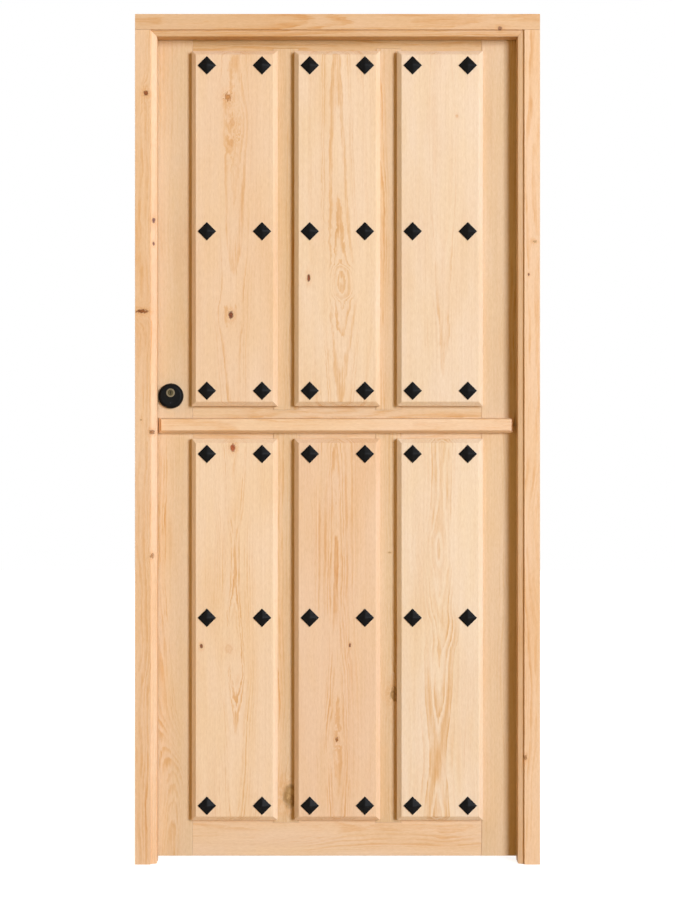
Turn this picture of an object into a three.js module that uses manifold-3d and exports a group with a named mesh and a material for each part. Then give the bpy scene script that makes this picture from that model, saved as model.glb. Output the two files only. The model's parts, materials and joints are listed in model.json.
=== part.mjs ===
// Split exterior door in pine. A rebated frame carries a lower and an upper leaf that swing
// inwards on one line of hinges. Raised boards are nailed on the outside of both leaves, and a
// weather bar on the lower leaf covers the joint. A cylinder deadlock holds the upper leaf, an
// iron bolt holds the lower one, and another bolt joins the two so that they swing as one door.
//
// Millimetres. X runs across the door, with the lock side at -X and the hinges at +X.
// Y runs from the outside to the inside, and Z is up from the floor.
// The group is centred in X and in depth, and stands on Z = 0.

import * as THREE from "three";
import { mergeVertices } from "three/addons/utils/BufferGeometryUtils.js";
import Module from "manifold-3d";

const wasm = await Module();
wasm.setup();

// ---------------------------------------------------------------- driving dimensions

const fit = 0.3; // play between pieces that seat on or in each other

// Frame
const frameWidth = 1000;
const frameHeight = 2100;
const faceFlat = 38.5; // plain part of the frame's face
const quirkDepth = 5.5; // step down beside the plain part
const quirkWidth = 3.5;
const chamferWidth = 11;
const chamferDepth = 4.5;
const stopDepth = 48; // front of the frame to the back of the stop
const rebateWidth = 13; // how far the stop laps the leaves
const frameTenonWidth = 22;
const frameTenonThickness = 24;
const frameTenonLength = 25;

// Rubber seal on the stop
const sealGap = 3; // stop to leaf
const sealStemWidth = 3.4;
const sealStemDepth = 4.7;
const sealBeadWidth = 7;

// Leaves
const leafThickness = 45;
const leafGap = 3; // round the leaves in the rebate
const floorGap = 9;
const meetingHeight = 1083.5; // top of the lower leaf
const meetingGap = 3.5;
const meetingRebate = 12; // height of the step in the joint between the leaves
const meetingSlack = 1; // play on each side of that step
const stileWidth = 96;
const bottomRailHeight = 120;
const lowerTopRailHeight = 70;
const upperBottomRailHeight = 92;
const topRailHeight = 80;
const muntinWidth = 64;
const muntinLap = 12; // thickness of the muntin's ends, which lie over the rails
const lapReveal = 9; // how far those ends run past the boards
const easedEdge = 0.8;
const tenonThickness = 14;
const tenonLength = 30;
const tenonInset = 10;

// Flat panels let into the leaves, behind the boards
const coreSetback = 1;
const coreFront = 14; // thickness in front of the inner bevel
const coreBevelRise = 12;
const coreBevelWidth = 32;
const tongueFront = 5; // front of the panel to its tongue
const tongueThickness = 8;
const tongueLength = 9;

// Raised boards on the outside
const bays = [-1, 0, 1]; // three boards side by side on each leaf
const boardGap = 41.6;
const boardStileLap = 1.6; // outer boards over the stiles
const boardShoulder = 14.5; // square part of the edge
const boardBevelRise = 9.5;
const boardBevelWidth = 11;
const lowerBoardBase = 92.5; // bottom of the lower leaf to its boards
const lowerBoardHead = 32; // boards to the top of the lower leaf
const upperBoardBase = 45.5; // bottom of the upper leaf to its boards
const upperBoardHead = 30; // boards to the frame's head

// Nails with a square pyramid head, turned on its corner
const nailSide = 32.5;
const nailRim = 1.5;
const nailRise = 8.5;
const nailSideInset = 38.5; // from the sides of the boards
const nailEndInset = 38; // from the ends of the boards
const upperMiddleNail = -8; // middle nails, from the middle of the boards
const lowerMiddleNail = 30;

// Weather bar
const barHeight = 37;
const barDrop = 17.5; // how far it hangs below the top of the lower leaf
const barShoulder = 12;
const barBevelRise = 10;
const barLowBevel = 6;
const barTopBevel = 3;
const barEndBevel = 7.5;
const barLockGap = 2; // ends of the bar to the jambs
const barHingeGap = 8;
const barFreeGap = 0.8; // bar to the upper leaf
const barLapHide = 6; // how far the muntins run up behind it
const dripWidth = 4; // groove under the bar that water drips from
const dripDepth = 3;

// Hinges
const hingeInset = 150; // ends of the leaf to the middle of the hinge
const hingeHeight = 96;
const hingeBarrelRadius = 7;
const hingePinRadius = 3;
const hingePinInset = 10; // solid end of each knuckle
const hingeFinial = 5;
const hingeStandOff = 1; // barrel to the inside face
const hingePlateThickness = 2.5;
const hingePlateWidth = 30;
const hingePlateHeight = 84;
const hingePlateCorner = 8;

// Deadlock
const lockBackset = 41.5;
const lockHeight = 79; // bottom of the upper leaf to the key
const caseThickness = 15;
const caseLength = 60;
const caseBelowKey = 45;
const caseAboveKey = 75;
const forendWidth = 22;
const forendLength = 160;
const forendThickness = 2.5;
const boltThickness = 11;
const boltHeight = 30;
const boltLength = 40;
const boltAboveKey = 32;
const boltSetback = 0.3;
const boltThrow = 20;
const strikeWidth = 24;
const strikeLength = 120;
const strikePlay = 1.2; // round the bolt in the strike plate
const strikePocket = 4; // behind the end of the thrown bolt

// Lock cylinder and its escutcheons
const cylinderRadius = 8.5;
const cylinderLeg = 24.5; // key to the bottom of the profile
const cylinderLegWidth = 10;
const cylinderInnerEnd = 5; // past the inside face
const plugRadius = 6.5;
const camRadius = 15;
const camThickness = 9.4;
const camWidth = 7;
const camPlay = 0.5;
const keywayWidth = 2.4;
const keywayHeight = 9;
const keywayDepth = 14;
const keyAboveCentre = 8; // key to the middle of the escutcheons
const escutcheonRadius = 31.5;
const escutcheonFace = 23; // radius of the flat front
const escutcheonHeight = 13.5;
const escutcheonEdge = 3;
const discRadius = 10.5;
const discThickness = 3;
const roseRadius = 27;
const roseHeight = 6;

// Pull handle on the inside
const pullAboveKey = 180;
const pullLength = 190;
const pullBend = 50; // length of each curved end
const pullReach = 44;
const pullRadius = 7;
const pullFootRadius = 17;
const pullFootHeight = 5;

// Sliding bolts on the inside
const slideRadius = 5.5;
const slideLength = 104;
const slideTravel = 30;
const slidePlateEnds = [8, 6]; // plate past the guides
const slidePlateWidth = 36;
const slidePlateThickness = 2;
const slideGuideLength = 9;
const slideGuideWidth = 20;
const slideGuideWall = 3.2; // iron over the rod
const slideKnobReach = 20;
const slideKnobRadius = 6.5;
const slideKeepLength = 30;
const slideKeepGap = 4; // edge of the leaf to the plate, and to the keep
const lowerBoltHeight = 820;
const joiningBoltInset = 55; // edge of the leaf to the joining bolt

// ---------------------------------------------------------------- derived positions

const frameHalf = frameWidth / 2;
const faceWidth = faceFlat + quirkWidth + chamferWidth;
const openingHalf = frameHalf - faceWidth;
const openingTop = frameHeight - faceWidth;
const rebateHalf = openingHalf + rebateWidth;
const rebateTop = openingTop + rebateWidth;
const leafHalf = rebateHalf - leafGap;
const leafFront = stopDepth + sealGap;
const leafBack = leafFront + leafThickness;
const leafMiddle = (leafFront + leafBack) / 2;
const frameDepth = leafBack;
const stileInner = leafHalf - stileWidth;
const lowerLeaf = { base: floorGap, top: meetingHeight };
const upperLeaf = { base: meetingHeight + meetingGap, top: rebateTop - leafGap };
const boardFace = leafFront - fit;
const boardFront = boardFace - boardShoulder - boardBevelRise;
const boardPitch = (2 * (stileInner + boardStileLap) + boardGap) / bays.length;
const boardWidth = boardPitch - boardGap;
const barBase = meetingHeight - barDrop;
const barEnds = [-openingHalf + barLockGap, openingHalf - barHingeGap];
const hingeX = rebateHalf - leafGap / 2;
const hingeY = leafBack + hingeStandOff + hingeBarrelRadius;
const keyX = -leafHalf + lockBackset;
const keyZ = upperLeaf.base + lockHeight;
const escutcheonZ = keyZ - keyAboveCentre;
const escutcheonFront = leafFront - fit - escutcheonHeight;
const cylinderFront = escutcheonFront + discThickness + fit;
const cylinderBack = leafBack + cylinderInnerEnd;
const boltZ = keyZ + boltAboveKey;

// ---------------------------------------------------------------- materials

const frameWood = new THREE.MeshStandardMaterial({ color: 0xd6ad78, roughness: 0.55, metalness: 0 });
const leafWood = new THREE.MeshStandardMaterial({ color: 0xd9b383, roughness: 0.55, metalness: 0 });
const boardWood = new THREE.MeshStandardMaterial({ color: 0xdcb587, roughness: 0.5, metalness: 0 });
const blackIron = new THREE.MeshStandardMaterial({ color: 0x17171a, roughness: 0.45, metalness: 0.6 });
const steel = new THREE.MeshStandardMaterial({ color: 0xa9abad, roughness: 0.35, metalness: 1 });
const brass = new THREE.MeshStandardMaterial({ color: 0x9c927a, roughness: 0.35, metalness: 1 });
const rubber = new THREE.MeshStandardMaterial({ color: 0x2b2724, roughness: 0.9, metalness: 0 });

// ---------------------------------------------------------------- solids

const xAxis = new THREE.Vector3(1, 0, 0);
const yAxis = new THREE.Vector3(0, 1, 0);
const zAxis = new THREE.Vector3(0, 0, 1);

// A closed three.js geometry as a solid that can be joined and cut.
function solid(geometry, placing = new THREE.Matrix4()) {
  const bare = geometry.clone();
  bare.deleteAttribute("normal");
  bare.deleteAttribute("uv");
  const merged = mergeVertices(bare, 1e-4).applyMatrix4(placing);
  const faces = [];
  for (let i = 0; i < merged.index.count; i += 3) {
    const [a, b, c] = [0, 1, 2].map((k) => merged.index.getX(i + k));
    if (a !== b && b !== c && c !== a) faces.push(a, b, c);
  }
  return new wasm.Manifold(
    new wasm.Mesh({
      numProp: 3,
      vertProperties: new Float32Array(merged.getAttribute("position").array),
      triVerts: new Uint32Array(faces),
    }),
  );
}

// A block between two limits on each axis.
function block(x, y, z) {
  const box = new THREE.BoxGeometry(x[1] - x[0], y[1] - y[0], z[1] - z[0]);
  const centre = [x, y, z].map((range) => (range[0] + range[1]) / 2);
  return solid(box, new THREE.Matrix4().makeTranslation(...centre));
}

function shapeOf(outline) {
  if (outline instanceof THREE.Shape) return outline;
  return new THREE.Shape(outline.map(([u, v]) => new THREE.Vector2(u, v)));
}

function extruded(outline, depth) {
  return new THREE.ExtrudeGeometry(shapeOf(outline), { depth, curveSegments: 5, bevelEnabled: false });
}

// Prisms along X, Y and Z. Their outlines are given in YZ, XZ and XY.
function prismX(outline, x) {
  const geometry = extruded(outline, x[1] - x[0]);
  const turn = new THREE.Matrix4().makeBasis(yAxis, zAxis, xAxis);
  return solid(geometry, new THREE.Matrix4().makeTranslation(x[0], 0, 0).multiply(turn));
}

function prismY(outline, y, at = [0, 0]) {
  const geometry = extruded(outline, y[1] - y[0]);
  const turn = new THREE.Matrix4().makeBasis(xAxis, zAxis, yAxis.clone().negate());
  return solid(geometry, new THREE.Matrix4().makeTranslation(at[0], y[1], at[1]).multiply(turn));
}

function prismZ(outline, z) {
  const geometry = extruded(outline, z[1] - z[0]);
  return solid(geometry, new THREE.Matrix4().makeTranslation(0, 0, z[0]));
}

// Rods along Y and Z, placed by the other two coordinates of their axis.
const rodSides = 24;

function rod(radius, length, turn, centre, sides) {
  const geometry = new THREE.CylinderGeometry(radius, radius, length, sides);
  return solid(geometry, new THREE.Matrix4().makeTranslation(...centre).multiply(turn));
}

function rodY(radius, y, [x, z], sides = rodSides) {
  return rod(radius, y[1] - y[0], new THREE.Matrix4(), [x, (y[0] + y[1]) / 2, z], sides);
}

function rodZ(radius, z, [x, y], sides = rodSides) {
  const turn = new THREE.Matrix4().makeRotationX(Math.PI / 2);
  return rod(radius, z[1] - z[0], turn, [x, y, (z[0] + z[1]) / 2], sides);
}

// A rectangle with its corners cut off, for the eased edges of planed timber.
function easedRectangle([a0, a1], [b0, b1], ease = easedEdge) {
  return [
    [a0 + ease, b0], [a1 - ease, b0], [a1, b0 + ease], [a1, b1 - ease],
    [a1 - ease, b1], [a0 + ease, b1], [a0, b1 - ease], [a0, b0 + ease],
  ];
}

// A board whose edges run square from its base to its shoulder, then slope in to its face.
// The face may lie on either side of the base. The bevels are the widths of the four slopes.
function raisedBoard({ x, z, base, shoulder, face, bevels }) {
  const geometry = new THREE.BoxGeometry(1, 1, 1, 1, 2, 1);
  const position = geometry.getAttribute("position");
  for (let i = 0; i < position.count; i += 1) {
    const level = Math.round(position.getY(i) * 2) + 1;
    const slope = level === 2 ? 1 : 0;
    const [left, right, low, high] = bevels.map((width) => width * slope);
    position.setXYZ(
      i,
      position.getX(i) < 0 ? x[0] + left : x[1] - right,
      [base, shoulder, face][level],
      position.getZ(i) < 0 ? z[0] + low : z[1] - high,
    );
  }
  if (face < base) {
    const order = geometry.index.array;
    for (let i = 0; i < order.length; i += 3) [order[i], order[i + 1]] = [order[i + 1], order[i]];
  }
  return solid(geometry);
}

function grown([low, high], by) {
  return [low - by, high + by];
}

function about(centre, width) {
  return [centre - width / 2, centre + width / 2];
}

// ---------------------------------------------------------------- scene graph

const door = new THREE.Group();

function piece(name, shape, material, parent = door) {
  const { vertProperties, triVerts } = shape.getMesh();
  const geometry = new THREE.BufferGeometry();
  geometry.setAttribute("position", new THREE.BufferAttribute(vertProperties, 3));
  geometry.setIndex(new THREE.BufferAttribute(triVerts, 1));
  const flat = geometry.toNonIndexed();
  flat.computeVertexNormals();
  const mesh = new THREE.Mesh(flat, material);
  mesh.name = name;
  parent.add(mesh);
  return mesh;
}

// ---------------------------------------------------------------- frame

// Section of a jamb or of the head: distance from the outer side, and depth.
const frameSection = [
  [0, 0],
  [faceFlat, 0],
  [faceFlat, quirkDepth],
  [faceFlat + quirkWidth, quirkDepth],
  [faceWidth, quirkDepth + chamferDepth],
  [faceWidth, stopDepth],
  [faceWidth - rebateWidth, stopDepth],
  [faceWidth - rebateWidth, frameDepth],
  [0, frameDepth],
];

// The seal's section, in the same terms: a stem in the stop and a bead that meets the leaf.
const sealMiddle = faceWidth - rebateWidth / 2;
const stemRange = about(sealMiddle, sealStemWidth);
const beadRange = about(sealMiddle, sealBeadWidth);
const beadEase = (sealGap - 2 * fit) / 2;
const stemSection = [
  [stemRange[0], stopDepth - sealStemDepth],
  [stemRange[1], stopDepth - sealStemDepth],
  [stemRange[1], leafFront - fit - beadEase],
  [stemRange[0], leafFront - fit - beadEase],
];
const beadSection = [
  [beadRange[0], stopDepth + fit],
  [beadRange[1], stopDepth + fit],
  [beadRange[1], leafFront - fit - beadEase],
  [beadRange[1] - beadEase, leafFront - fit],
  [beadRange[0] + beadEase, leafFront - fit],
  [beadRange[0], leafFront - fit - beadEase],
];
const sealGroove = [grown(stemRange, fit), [stopDepth - sealStemDepth - fit, stopDepth + fit]];

// Where a jamb and the head meet: square under the plain part, mitred through the moulding.
const jointPlay = fit * Math.SQRT1_2;
const jambReach = faceWidth + 1;

function jambZone(side) {
  const across = (u) => side * (frameHalf - u);
  return prismY(
    [
      [across(-1), -1],
      [across(jambReach), -1],
      [across(jambReach), frameHeight - jambReach - jointPlay],
      [across(faceFlat), frameHeight - faceFlat - jointPlay],
      [across(-1), frameHeight - faceFlat - jointPlay],
    ],
    [-1, frameDepth + 1],
  );
}

function headZone() {
  const edge = frameHalf + 1;
  const square = frameHalf - faceFlat;
  const mitre = frameHalf - jambReach;
  return prismY(
    [
      [-edge, frameHeight + 1],
      [-edge, frameHeight - faceFlat + jointPlay],
      [-square, frameHeight - faceFlat + jointPlay],
      [-mitre, frameHeight - jambReach + jointPlay],
      [mitre, frameHeight - jambReach + jointPlay],
      [square, frameHeight - faceFlat + jointPlay],
      [edge, frameHeight - faceFlat + jointPlay],
      [edge, frameHeight + 1],
    ],
    [-1, frameDepth + 1],
  );
}

function frameTenon(side, play) {
  const centre = side * (frameHalf - faceFlat / 2);
  return block(
    grown(about(centre, frameTenonWidth), play),
    grown(about(leafFront, frameTenonThickness), play),
    [frameHeight - faceFlat - 5, frameHeight - faceFlat + frameTenonLength + play],
  );
}

function jamb(side) {
  const section = frameSection.map(([u, y]) => [side * (frameHalf - u), y]);
  const groove = sealGroove[0].map((u) => side * (frameHalf - u)).sort((a, b) => a - b);
  return prismZ(section, [0, frameHeight])
    .intersect(jambZone(side))
    .subtract(block(groove, sealGroove[1], [-1, frameHeight]))
    .add(frameTenon(side, 0));
}

function head() {
  const section = frameSection.map(([u, y]) => [y, frameHeight - u]);
  const groove = sealGroove[0].map((u) => frameHeight - u).reverse();
  return prismX(section, [-frameHalf, frameHalf])
    .intersect(headZone())
    .subtract(block([-frameHalf, frameHalf], sealGroove[1], groove))
    .subtract(frameTenon(-1, fit))
    .subtract(frameTenon(1, fit));
}

// The seal comes in three lengths, mitred at the corners as the moulding is.
function jambSeal(side) {
  const upright = (section) => prismZ(section.map(([u, y]) => [side * (frameHalf - u), y]), [0, frameHeight]);
  return upright(stemSection).add(upright(beadSection)).intersect(jambZone(side));
}

function headSeal() {
  const along = (section) => prismX(section.map(([u, y]) => [y, frameHeight - u]), [-frameHalf, frameHalf]);
  return along(stemSection).add(along(beadSection)).intersect(headZone());
}

// ---------------------------------------------------------------- hinges

const hingeBases = [
  ["hinge_lower_bottom", lowerLeaf.base + hingeInset],
  ["hinge_lower_top", lowerLeaf.top - hingeInset],
  ["hinge_upper_bottom", upperLeaf.base + hingeInset],
  ["hinge_upper_top", upperLeaf.top - hingeInset],
];

// One half: a plate let into the timber, and a knuckle round the pin. The frame's half has the
// lower knuckle at X on the far side of the gap, and the leaf's half has the upper one.
function hingeHalf(side, middle) {
  const plateX = side < 0
    ? [hingeX - leafGap / 2 - hingePlateThickness, hingeX - leafGap / 2]
    : [hingeX + leafGap / 2, hingeX + leafGap / 2 + hingePlateThickness];
  const knuckle = side < 0
    ? [middle + fit / 2, middle + hingeHeight / 2]
    : [middle - hingeHeight / 2, middle - fit / 2];
  const tip = side < 0 ? knuckle[1] : knuckle[0];
  const plate = prismX(plateOutline(middle), plateX);
  const neckZ = clipTo(knuckle, about(middle, hingePlateHeight));
  const neck = block(plateX, [leafBack - hingePlateWidth / 2, hingeY], neckZ);
  const finialZ = [tip + side, tip - side * hingeFinial].sort((a, b) => a - b);
  const finial = rodZ(hingeBarrelRadius * 0.62, finialZ, [hingeX, hingeY]);
  const pinEnd = hingePinInset - fit;
  const bore = side < 0 ? [knuckle[0] - 1, tip - pinEnd] : [tip + pinEnd, knuckle[1] + 1];
  return plate
    .add(neck)
    .add(rodZ(hingeBarrelRadius, knuckle, [hingeX, hingeY]))
    .add(finial)
    .subtract(rodZ(hingePinRadius + fit, bore, [hingeX, hingeY]));
}

function clipTo([a0, a1], [b0, b1]) {
  return [Math.max(a0, b0), Math.min(a1, b1)];
}

function plateOutline(middle, play = 0) {
  const [low, high] = grown(about(middle, hingePlateHeight), play);
  const inner = leafBack - hingePlateWidth - play;
  const corner = hingePlateCorner + play;
  const outline = new THREE.Shape();
  outline.moveTo(leafBack - fit + 2 * play, low);
  outline.lineTo(leafBack - fit + 2 * play, high);
  outline.lineTo(inner + corner, high);
  outline.absarc(inner + corner, high - corner, corner, Math.PI / 2, Math.PI, false);
  outline.absarc(inner + corner, low + corner, corner, Math.PI, Math.PI * 1.5, false);
  return outline;
}

// The shallow recess that a hinge plate lies in.
function hingeRecess(side, middle) {
  const face = hingeX + (side * leafGap) / 2;
  const depth = hingePlateThickness + fit;
  const x = side < 0 ? [face - depth, face + 1] : [face - 1, face + depth];
  return prismX(plateOutline(middle, fit), x);
}

function hingePin(middle) {
  const reach = hingeHeight / 2 - hingePinInset;
  return rodZ(hingePinRadius, [middle - reach, middle + reach], [hingeX, hingeY], 16);
}

// ---------------------------------------------------------------- leaves

const muntinCentres = [-boardPitch / 2, boardPitch / 2];

// What differs between the leaves. A rail's lap is where the muntins' ends stop on it.
const leaves = {
  lower: {
    ...lowerLeaf,
    outline: [lowerLeaf.base, lowerLeaf.top],
    bottomRail: [lowerLeaf.base, lowerLeaf.base + bottomRailHeight],
    topRail: [lowerLeaf.top - lowerTopRailHeight, lowerLeaf.top],
    boards: [lowerLeaf.base + lowerBoardBase, lowerLeaf.top - lowerBoardHead],
    laps: [lowerLeaf.base + lowerBoardBase - lapReveal, barBase + barLapHide],
    middleNail: lowerMiddleNail,
    tenonTrim: [0, meetingRebate],
    rebate: block(
      [-frameHalf, frameHalf],
      [leafMiddle - meetingSlack, leafBack + 1],
      [lowerLeaf.top - meetingRebate, lowerLeaf.top + 1],
    ),
  },
  upper: {
    ...upperLeaf,
    outline: [upperLeaf.base - meetingRebate, upperLeaf.top],
    bottomRail: [upperLeaf.base - meetingRebate, upperLeaf.base - meetingRebate + upperBottomRailHeight],
    topRail: [upperLeaf.top - topRailHeight, upperLeaf.top],
    boards: [upperLeaf.base + upperBoardBase, openingTop - upperBoardHead],
    laps: [upperLeaf.base + upperBoardBase - lapReveal, openingTop - upperBoardHead + lapReveal],
    middleNail: upperMiddleNail,
    tenonTrim: [meetingRebate, 0],
    rebate: block(
      [-frameHalf, frameHalf],
      [leafFront - 1, leafMiddle + meetingSlack],
      [upperLeaf.base - meetingRebate - 1, upperLeaf.base],
    ),
  },
};

// The opening that a core panel fills in one bay.
function bayRange(bay) {
  const edges = [-stileInner, ...muntinCentres.flatMap((x) => about(x, muntinWidth)), stileInner];
  return [edges[2 * (bay + 1)], edges[2 * (bay + 1) + 1]];
}

function tongue(leaf, bay, play) {
  const front = leafFront + coreSetback + tongueFront;
  return block(
    grown(bayRange(bay), tongueLength - fit + play),
    grown([front, front + tongueThickness], play),
    grown([leaf.bottomRail[1], leaf.topRail[0]], tongueLength - fit + play),
  );
}

function tongueRoom(leaf) {
  return bays.map((bay) => tongue(leaf, bay, fit)).reduce((all, next) => all.add(next));
}

function corePanel(leaf, bay) {
  const front = leafFront + coreSetback;
  return raisedBoard({
    x: grown(bayRange(bay), -fit),
    z: grown([leaf.bottomRail[1], leaf.topRail[0]], -fit),
    base: front,
    shoulder: front + coreFront,
    face: front + coreFront + coreBevelRise,
    bevels: [coreBevelWidth, coreBevelWidth, coreBevelWidth, coreBevelWidth],
  }).add(tongue(leaf, bay, 0));
}

function railTenon([low, high], [lowTrim, highTrim], play) {
  return block(
    grown([-stileInner - tenonLength, stileInner + tenonLength], play),
    grown(about(leafMiddle, tenonThickness), play),
    grown([low + tenonInset + lowTrim, high - tenonInset - highTrim], play),
  );
}

function railTenons(leaf, play) {
  return railTenon(leaf.bottomRail, [leaf.tenonTrim[0], 0], play).add(
    railTenon(leaf.topRail, [0, leaf.tenonTrim[1]], play),
  );
}

function stile(leaf, side) {
  const x = [side * stileInner, side * leafHalf].sort((a, b) => a - b);
  return prismZ(easedRectangle(x, [leafFront, leafBack]), leaf.outline)
    .subtract(leaf.rebate)
    .subtract(tongueRoom(leaf))
    .subtract(railTenons(leaf, fit));
}

// A rail between the stiles, notched in front for the ends of the muntins.
function rail(leaf, range, trim, notch) {
  const notches = muntinCentres.map((x) =>
    block(grown(about(x, muntinWidth), fit), [leafFront - 1, leafFront + muntinLap + fit], notch),
  );
  return notches.reduce(
    (left, cut) => left.subtract(cut),
    prismX(easedRectangle([leafFront, leafBack], range), [-stileInner + fit, stileInner - fit])
      .add(railTenon(range, trim, 0))
      .subtract(leaf.rebate)
      .subtract(tongueRoom(leaf)),
  );
}

function muntin(leaf, centre) {
  const x = about(centre, muntinWidth);
  const behindLap = [leafFront + muntinLap, leafBack + 1];
  return prismZ(easedRectangle(x, [leafFront, leafBack]), leaf.laps)
    .subtract(block(grown(x, 1), behindLap, [leaf.laps[0] - 1, leaf.bottomRail[1] + fit]))
    .subtract(block(grown(x, 1), behindLap, [leaf.topRail[0] - fit, leaf.laps[1] + 1]))
    .subtract(tongueRoom(leaf));
}

function nail(x, z) {
  const radius = nailSide * Math.SQRT1_2;
  const rim = rodY(radius, [boardFront - nailRim, boardFront + 1], [x, z], 4);
  const head = new THREE.ConeGeometry(radius, nailRise, 4);
  const place = new THREE.Matrix4()
    .makeTranslation(x, boardFront - nailRim - nailRise / 2, z)
    .multiply(new THREE.Matrix4().makeRotationX(Math.PI));
  return rim.add(solid(head, place));
}

function board(leaf, bay) {
  const centre = bay * boardPitch;
  const [low, high] = leaf.boards;
  const levels = [low + nailEndInset, (low + high) / 2 + leaf.middleNail, high - nailEndInset];
  const columns = about(centre, boardWidth - 2 * nailSideInset);
  return levels
    .flatMap((z) => columns.map((x) => nail(x, z)))
    .reduce(
      (made, one) => made.add(one),
      raisedBoard({
        x: about(centre, boardWidth),
        z: leaf.boards,
        base: boardFace,
        shoulder: boardFace - boardShoulder,
        face: boardFront,
        bevels: [boardBevelWidth, boardBevelWidth, boardBevelWidth, boardBevelWidth],
      }),
    );
}

function weatherBar() {
  const face = leafFront - fit;
  const shoulder = face - barShoulder;
  const lengthwise = [-frameHalf, frameHalf];
  return raisedBoard({
    x: barEnds,
    z: [barBase, barBase + barHeight],
    base: face,
    shoulder,
    face: shoulder - barBevelRise,
    bevels: [barEndBevel, barEndBevel, barLowBevel, barTopBevel],
  })
    .subtract(block(lengthwise, [leafFront - barFreeGap, leafFront], [meetingHeight - meetingSlack, rebateTop]))
    .subtract(block(lengthwise, [shoulder + 2, shoulder + 2 + dripWidth], [0, barBase + dripDepth]));
}

// ---------------------------------------------------------------- lock

// The profile of the cylinder: a round top over a leg with a round foot.
function cylinderProfile(play = 0) {
  const radius = cylinderRadius + play;
  const half = cylinderLegWidth / 2 + play;
  const foot = -cylinderLeg + cylinderLegWidth / 2;
  const spread = Math.asin(half / radius);
  const outline = new THREE.Shape();
  outline.moveTo(half, foot);
  outline.absarc(0, 0, radius, -Math.PI / 2 + spread, Math.PI / 2, false);
  outline.absarc(0, 0, radius, Math.PI / 2, Math.PI * 1.5 - spread, false);
  outline.lineTo(-half, foot);
  outline.absarc(0, foot, half, Math.PI, Math.PI * 2, false);
  return outline;
}

function cylinderRoom(y) {
  return prismY(cylinderProfile(fit), y, [keyX, keyZ]);
}

const forendX = [-leafHalf, -leafHalf + forendThickness];
const forendZ = about(keyZ + (caseAboveKey - caseBelowKey) / 2, forendLength);
const caseX = [forendX[1] + fit, forendX[1] + fit + caseLength];
const caseZ = [keyZ - caseBelowKey, keyZ + caseAboveKey];
const boltX = [-leafHalf + boltSetback, -leafHalf + boltSetback + boltLength];
const camRange = about(leafMiddle, camThickness);

function deadboltRoom(x, play) {
  return block(x, grown(about(leafMiddle, boltThickness), play), grown(about(boltZ, boltHeight), play));
}

function lockCase() {
  return block(caseX, about(leafMiddle, caseThickness), caseZ)
    .subtract(cylinderRoom([leafFront, leafBack]))
    .subtract(rodY(camRadius + camPlay, grown(camRange, camPlay), [keyX, keyZ], 32))
    .subtract(deadboltRoom([caseX[0] - 1, boltX[1] + fit], fit));
}

function lockForend() {
  return block(forendX, about(leafMiddle, forendWidth), forendZ).subtract(
    deadboltRoom([forendX[0] - 1, forendX[1] + 1], fit),
  );
}

function lockRoom() {
  const forendRoom = block(
    [forendX[0] - 1, forendX[1] + fit],
    about(leafMiddle, forendWidth + 2 * fit),
    grown(forendZ, fit),
  );
  return block(grown(caseX, fit), about(leafMiddle, caseThickness + 2 * fit), grown(caseZ, fit))
    .add(forendRoom)
    .add(cylinderRoom([leafFront - 1, leafBack + 1]));
}

function cylinderBody() {
  return prismY(cylinderProfile(), [cylinderFront, cylinderBack], [keyX, keyZ])
    .subtract(rodY(plugRadius + fit, [cylinderFront - 1, cylinderBack + 1], [keyX, keyZ]))
    .subtract(
      block(
        about(keyX, 4 * cylinderRadius),
        grown(camRange, camPlay),
        [keyZ - camRadius - camPlay, keyZ + 2 * cylinderRadius],
      ),
    );
}

// The plug turns in the cylinder, and its cam moves the bolt.
function cylinderPlug() {
  const keyway = (y) => block(about(keyX, keywayWidth), y, about(keyZ, keywayHeight));
  return rodY(plugRadius, [cylinderFront, cylinderBack], [keyX, keyZ])
    .add(rodY(cylinderRadius - fit, camRange, [keyX, keyZ]))
    .add(block(about(keyX, camWidth), camRange, [keyZ - camRadius, keyZ]))
    .subtract(keyway([cylinderFront - 1, cylinderFront + keywayDepth]))
    .subtract(keyway([cylinderBack - keywayDepth, cylinderBack + 1]));
}

function keyholeDisc() {
  return rodY(discRadius, [escutcheonFront, escutcheonFront + discThickness], [keyX, keyZ], 32).subtract(
    block(
      about(keyX, keywayWidth),
      [escutcheonFront - 1, escutcheonFront + discThickness + 1],
      about(keyZ, keywayHeight),
    ),
  );
}

function turned(points, at, sides = 40) {
  const lathe = new THREE.LatheGeometry(points.map(([r, y]) => new THREE.Vector2(r, y)), sides);
  return solid(lathe, new THREE.Matrix4().makeTranslation(at[0], 0, at[1]));
}

// The outer escutcheon: a thick rim that sweeps up to a flat face, with the keyhole disc above
// its middle.
function outerEscutcheon() {
  const rim = leafFront - fit - escutcheonEdge;
  const sweep = new THREE.QuadraticBezierCurve(
    new THREE.Vector2(escutcheonFace, escutcheonFront),
    new THREE.Vector2(escutcheonRadius - 1, escutcheonFront + 1),
    new THREE.Vector2(escutcheonRadius, rim),
  );
  const profile = [
    [0, escutcheonFront],
    ...sweep.getPoints(6).map((p) => [p.x, p.y]),
    [escutcheonRadius, leafFront - fit],
    [0, leafFront - fit],
  ];
  return turned(profile, [keyX, escutcheonZ])
    .subtract(cylinderRoom([cylinderFront - fit, leafFront + 1]))
    .subtract(rodY(discRadius + fit, [escutcheonFront - 1, cylinderFront], [keyX, keyZ], 32));
}

function innerEscutcheon() {
  const profile = [
    [0, leafBack + fit],
    [roseRadius, leafBack + fit],
    [roseRadius, leafBack + fit + roseHeight / 2],
    [roseRadius - 2, leafBack + fit + roseHeight],
    [0, leafBack + fit + roseHeight],
  ];
  const through = [leafBack - 1, leafBack + roseHeight + 2];
  return turned(profile, [keyX, escutcheonZ]).subtract(cylinderRoom(through));
}

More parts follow.
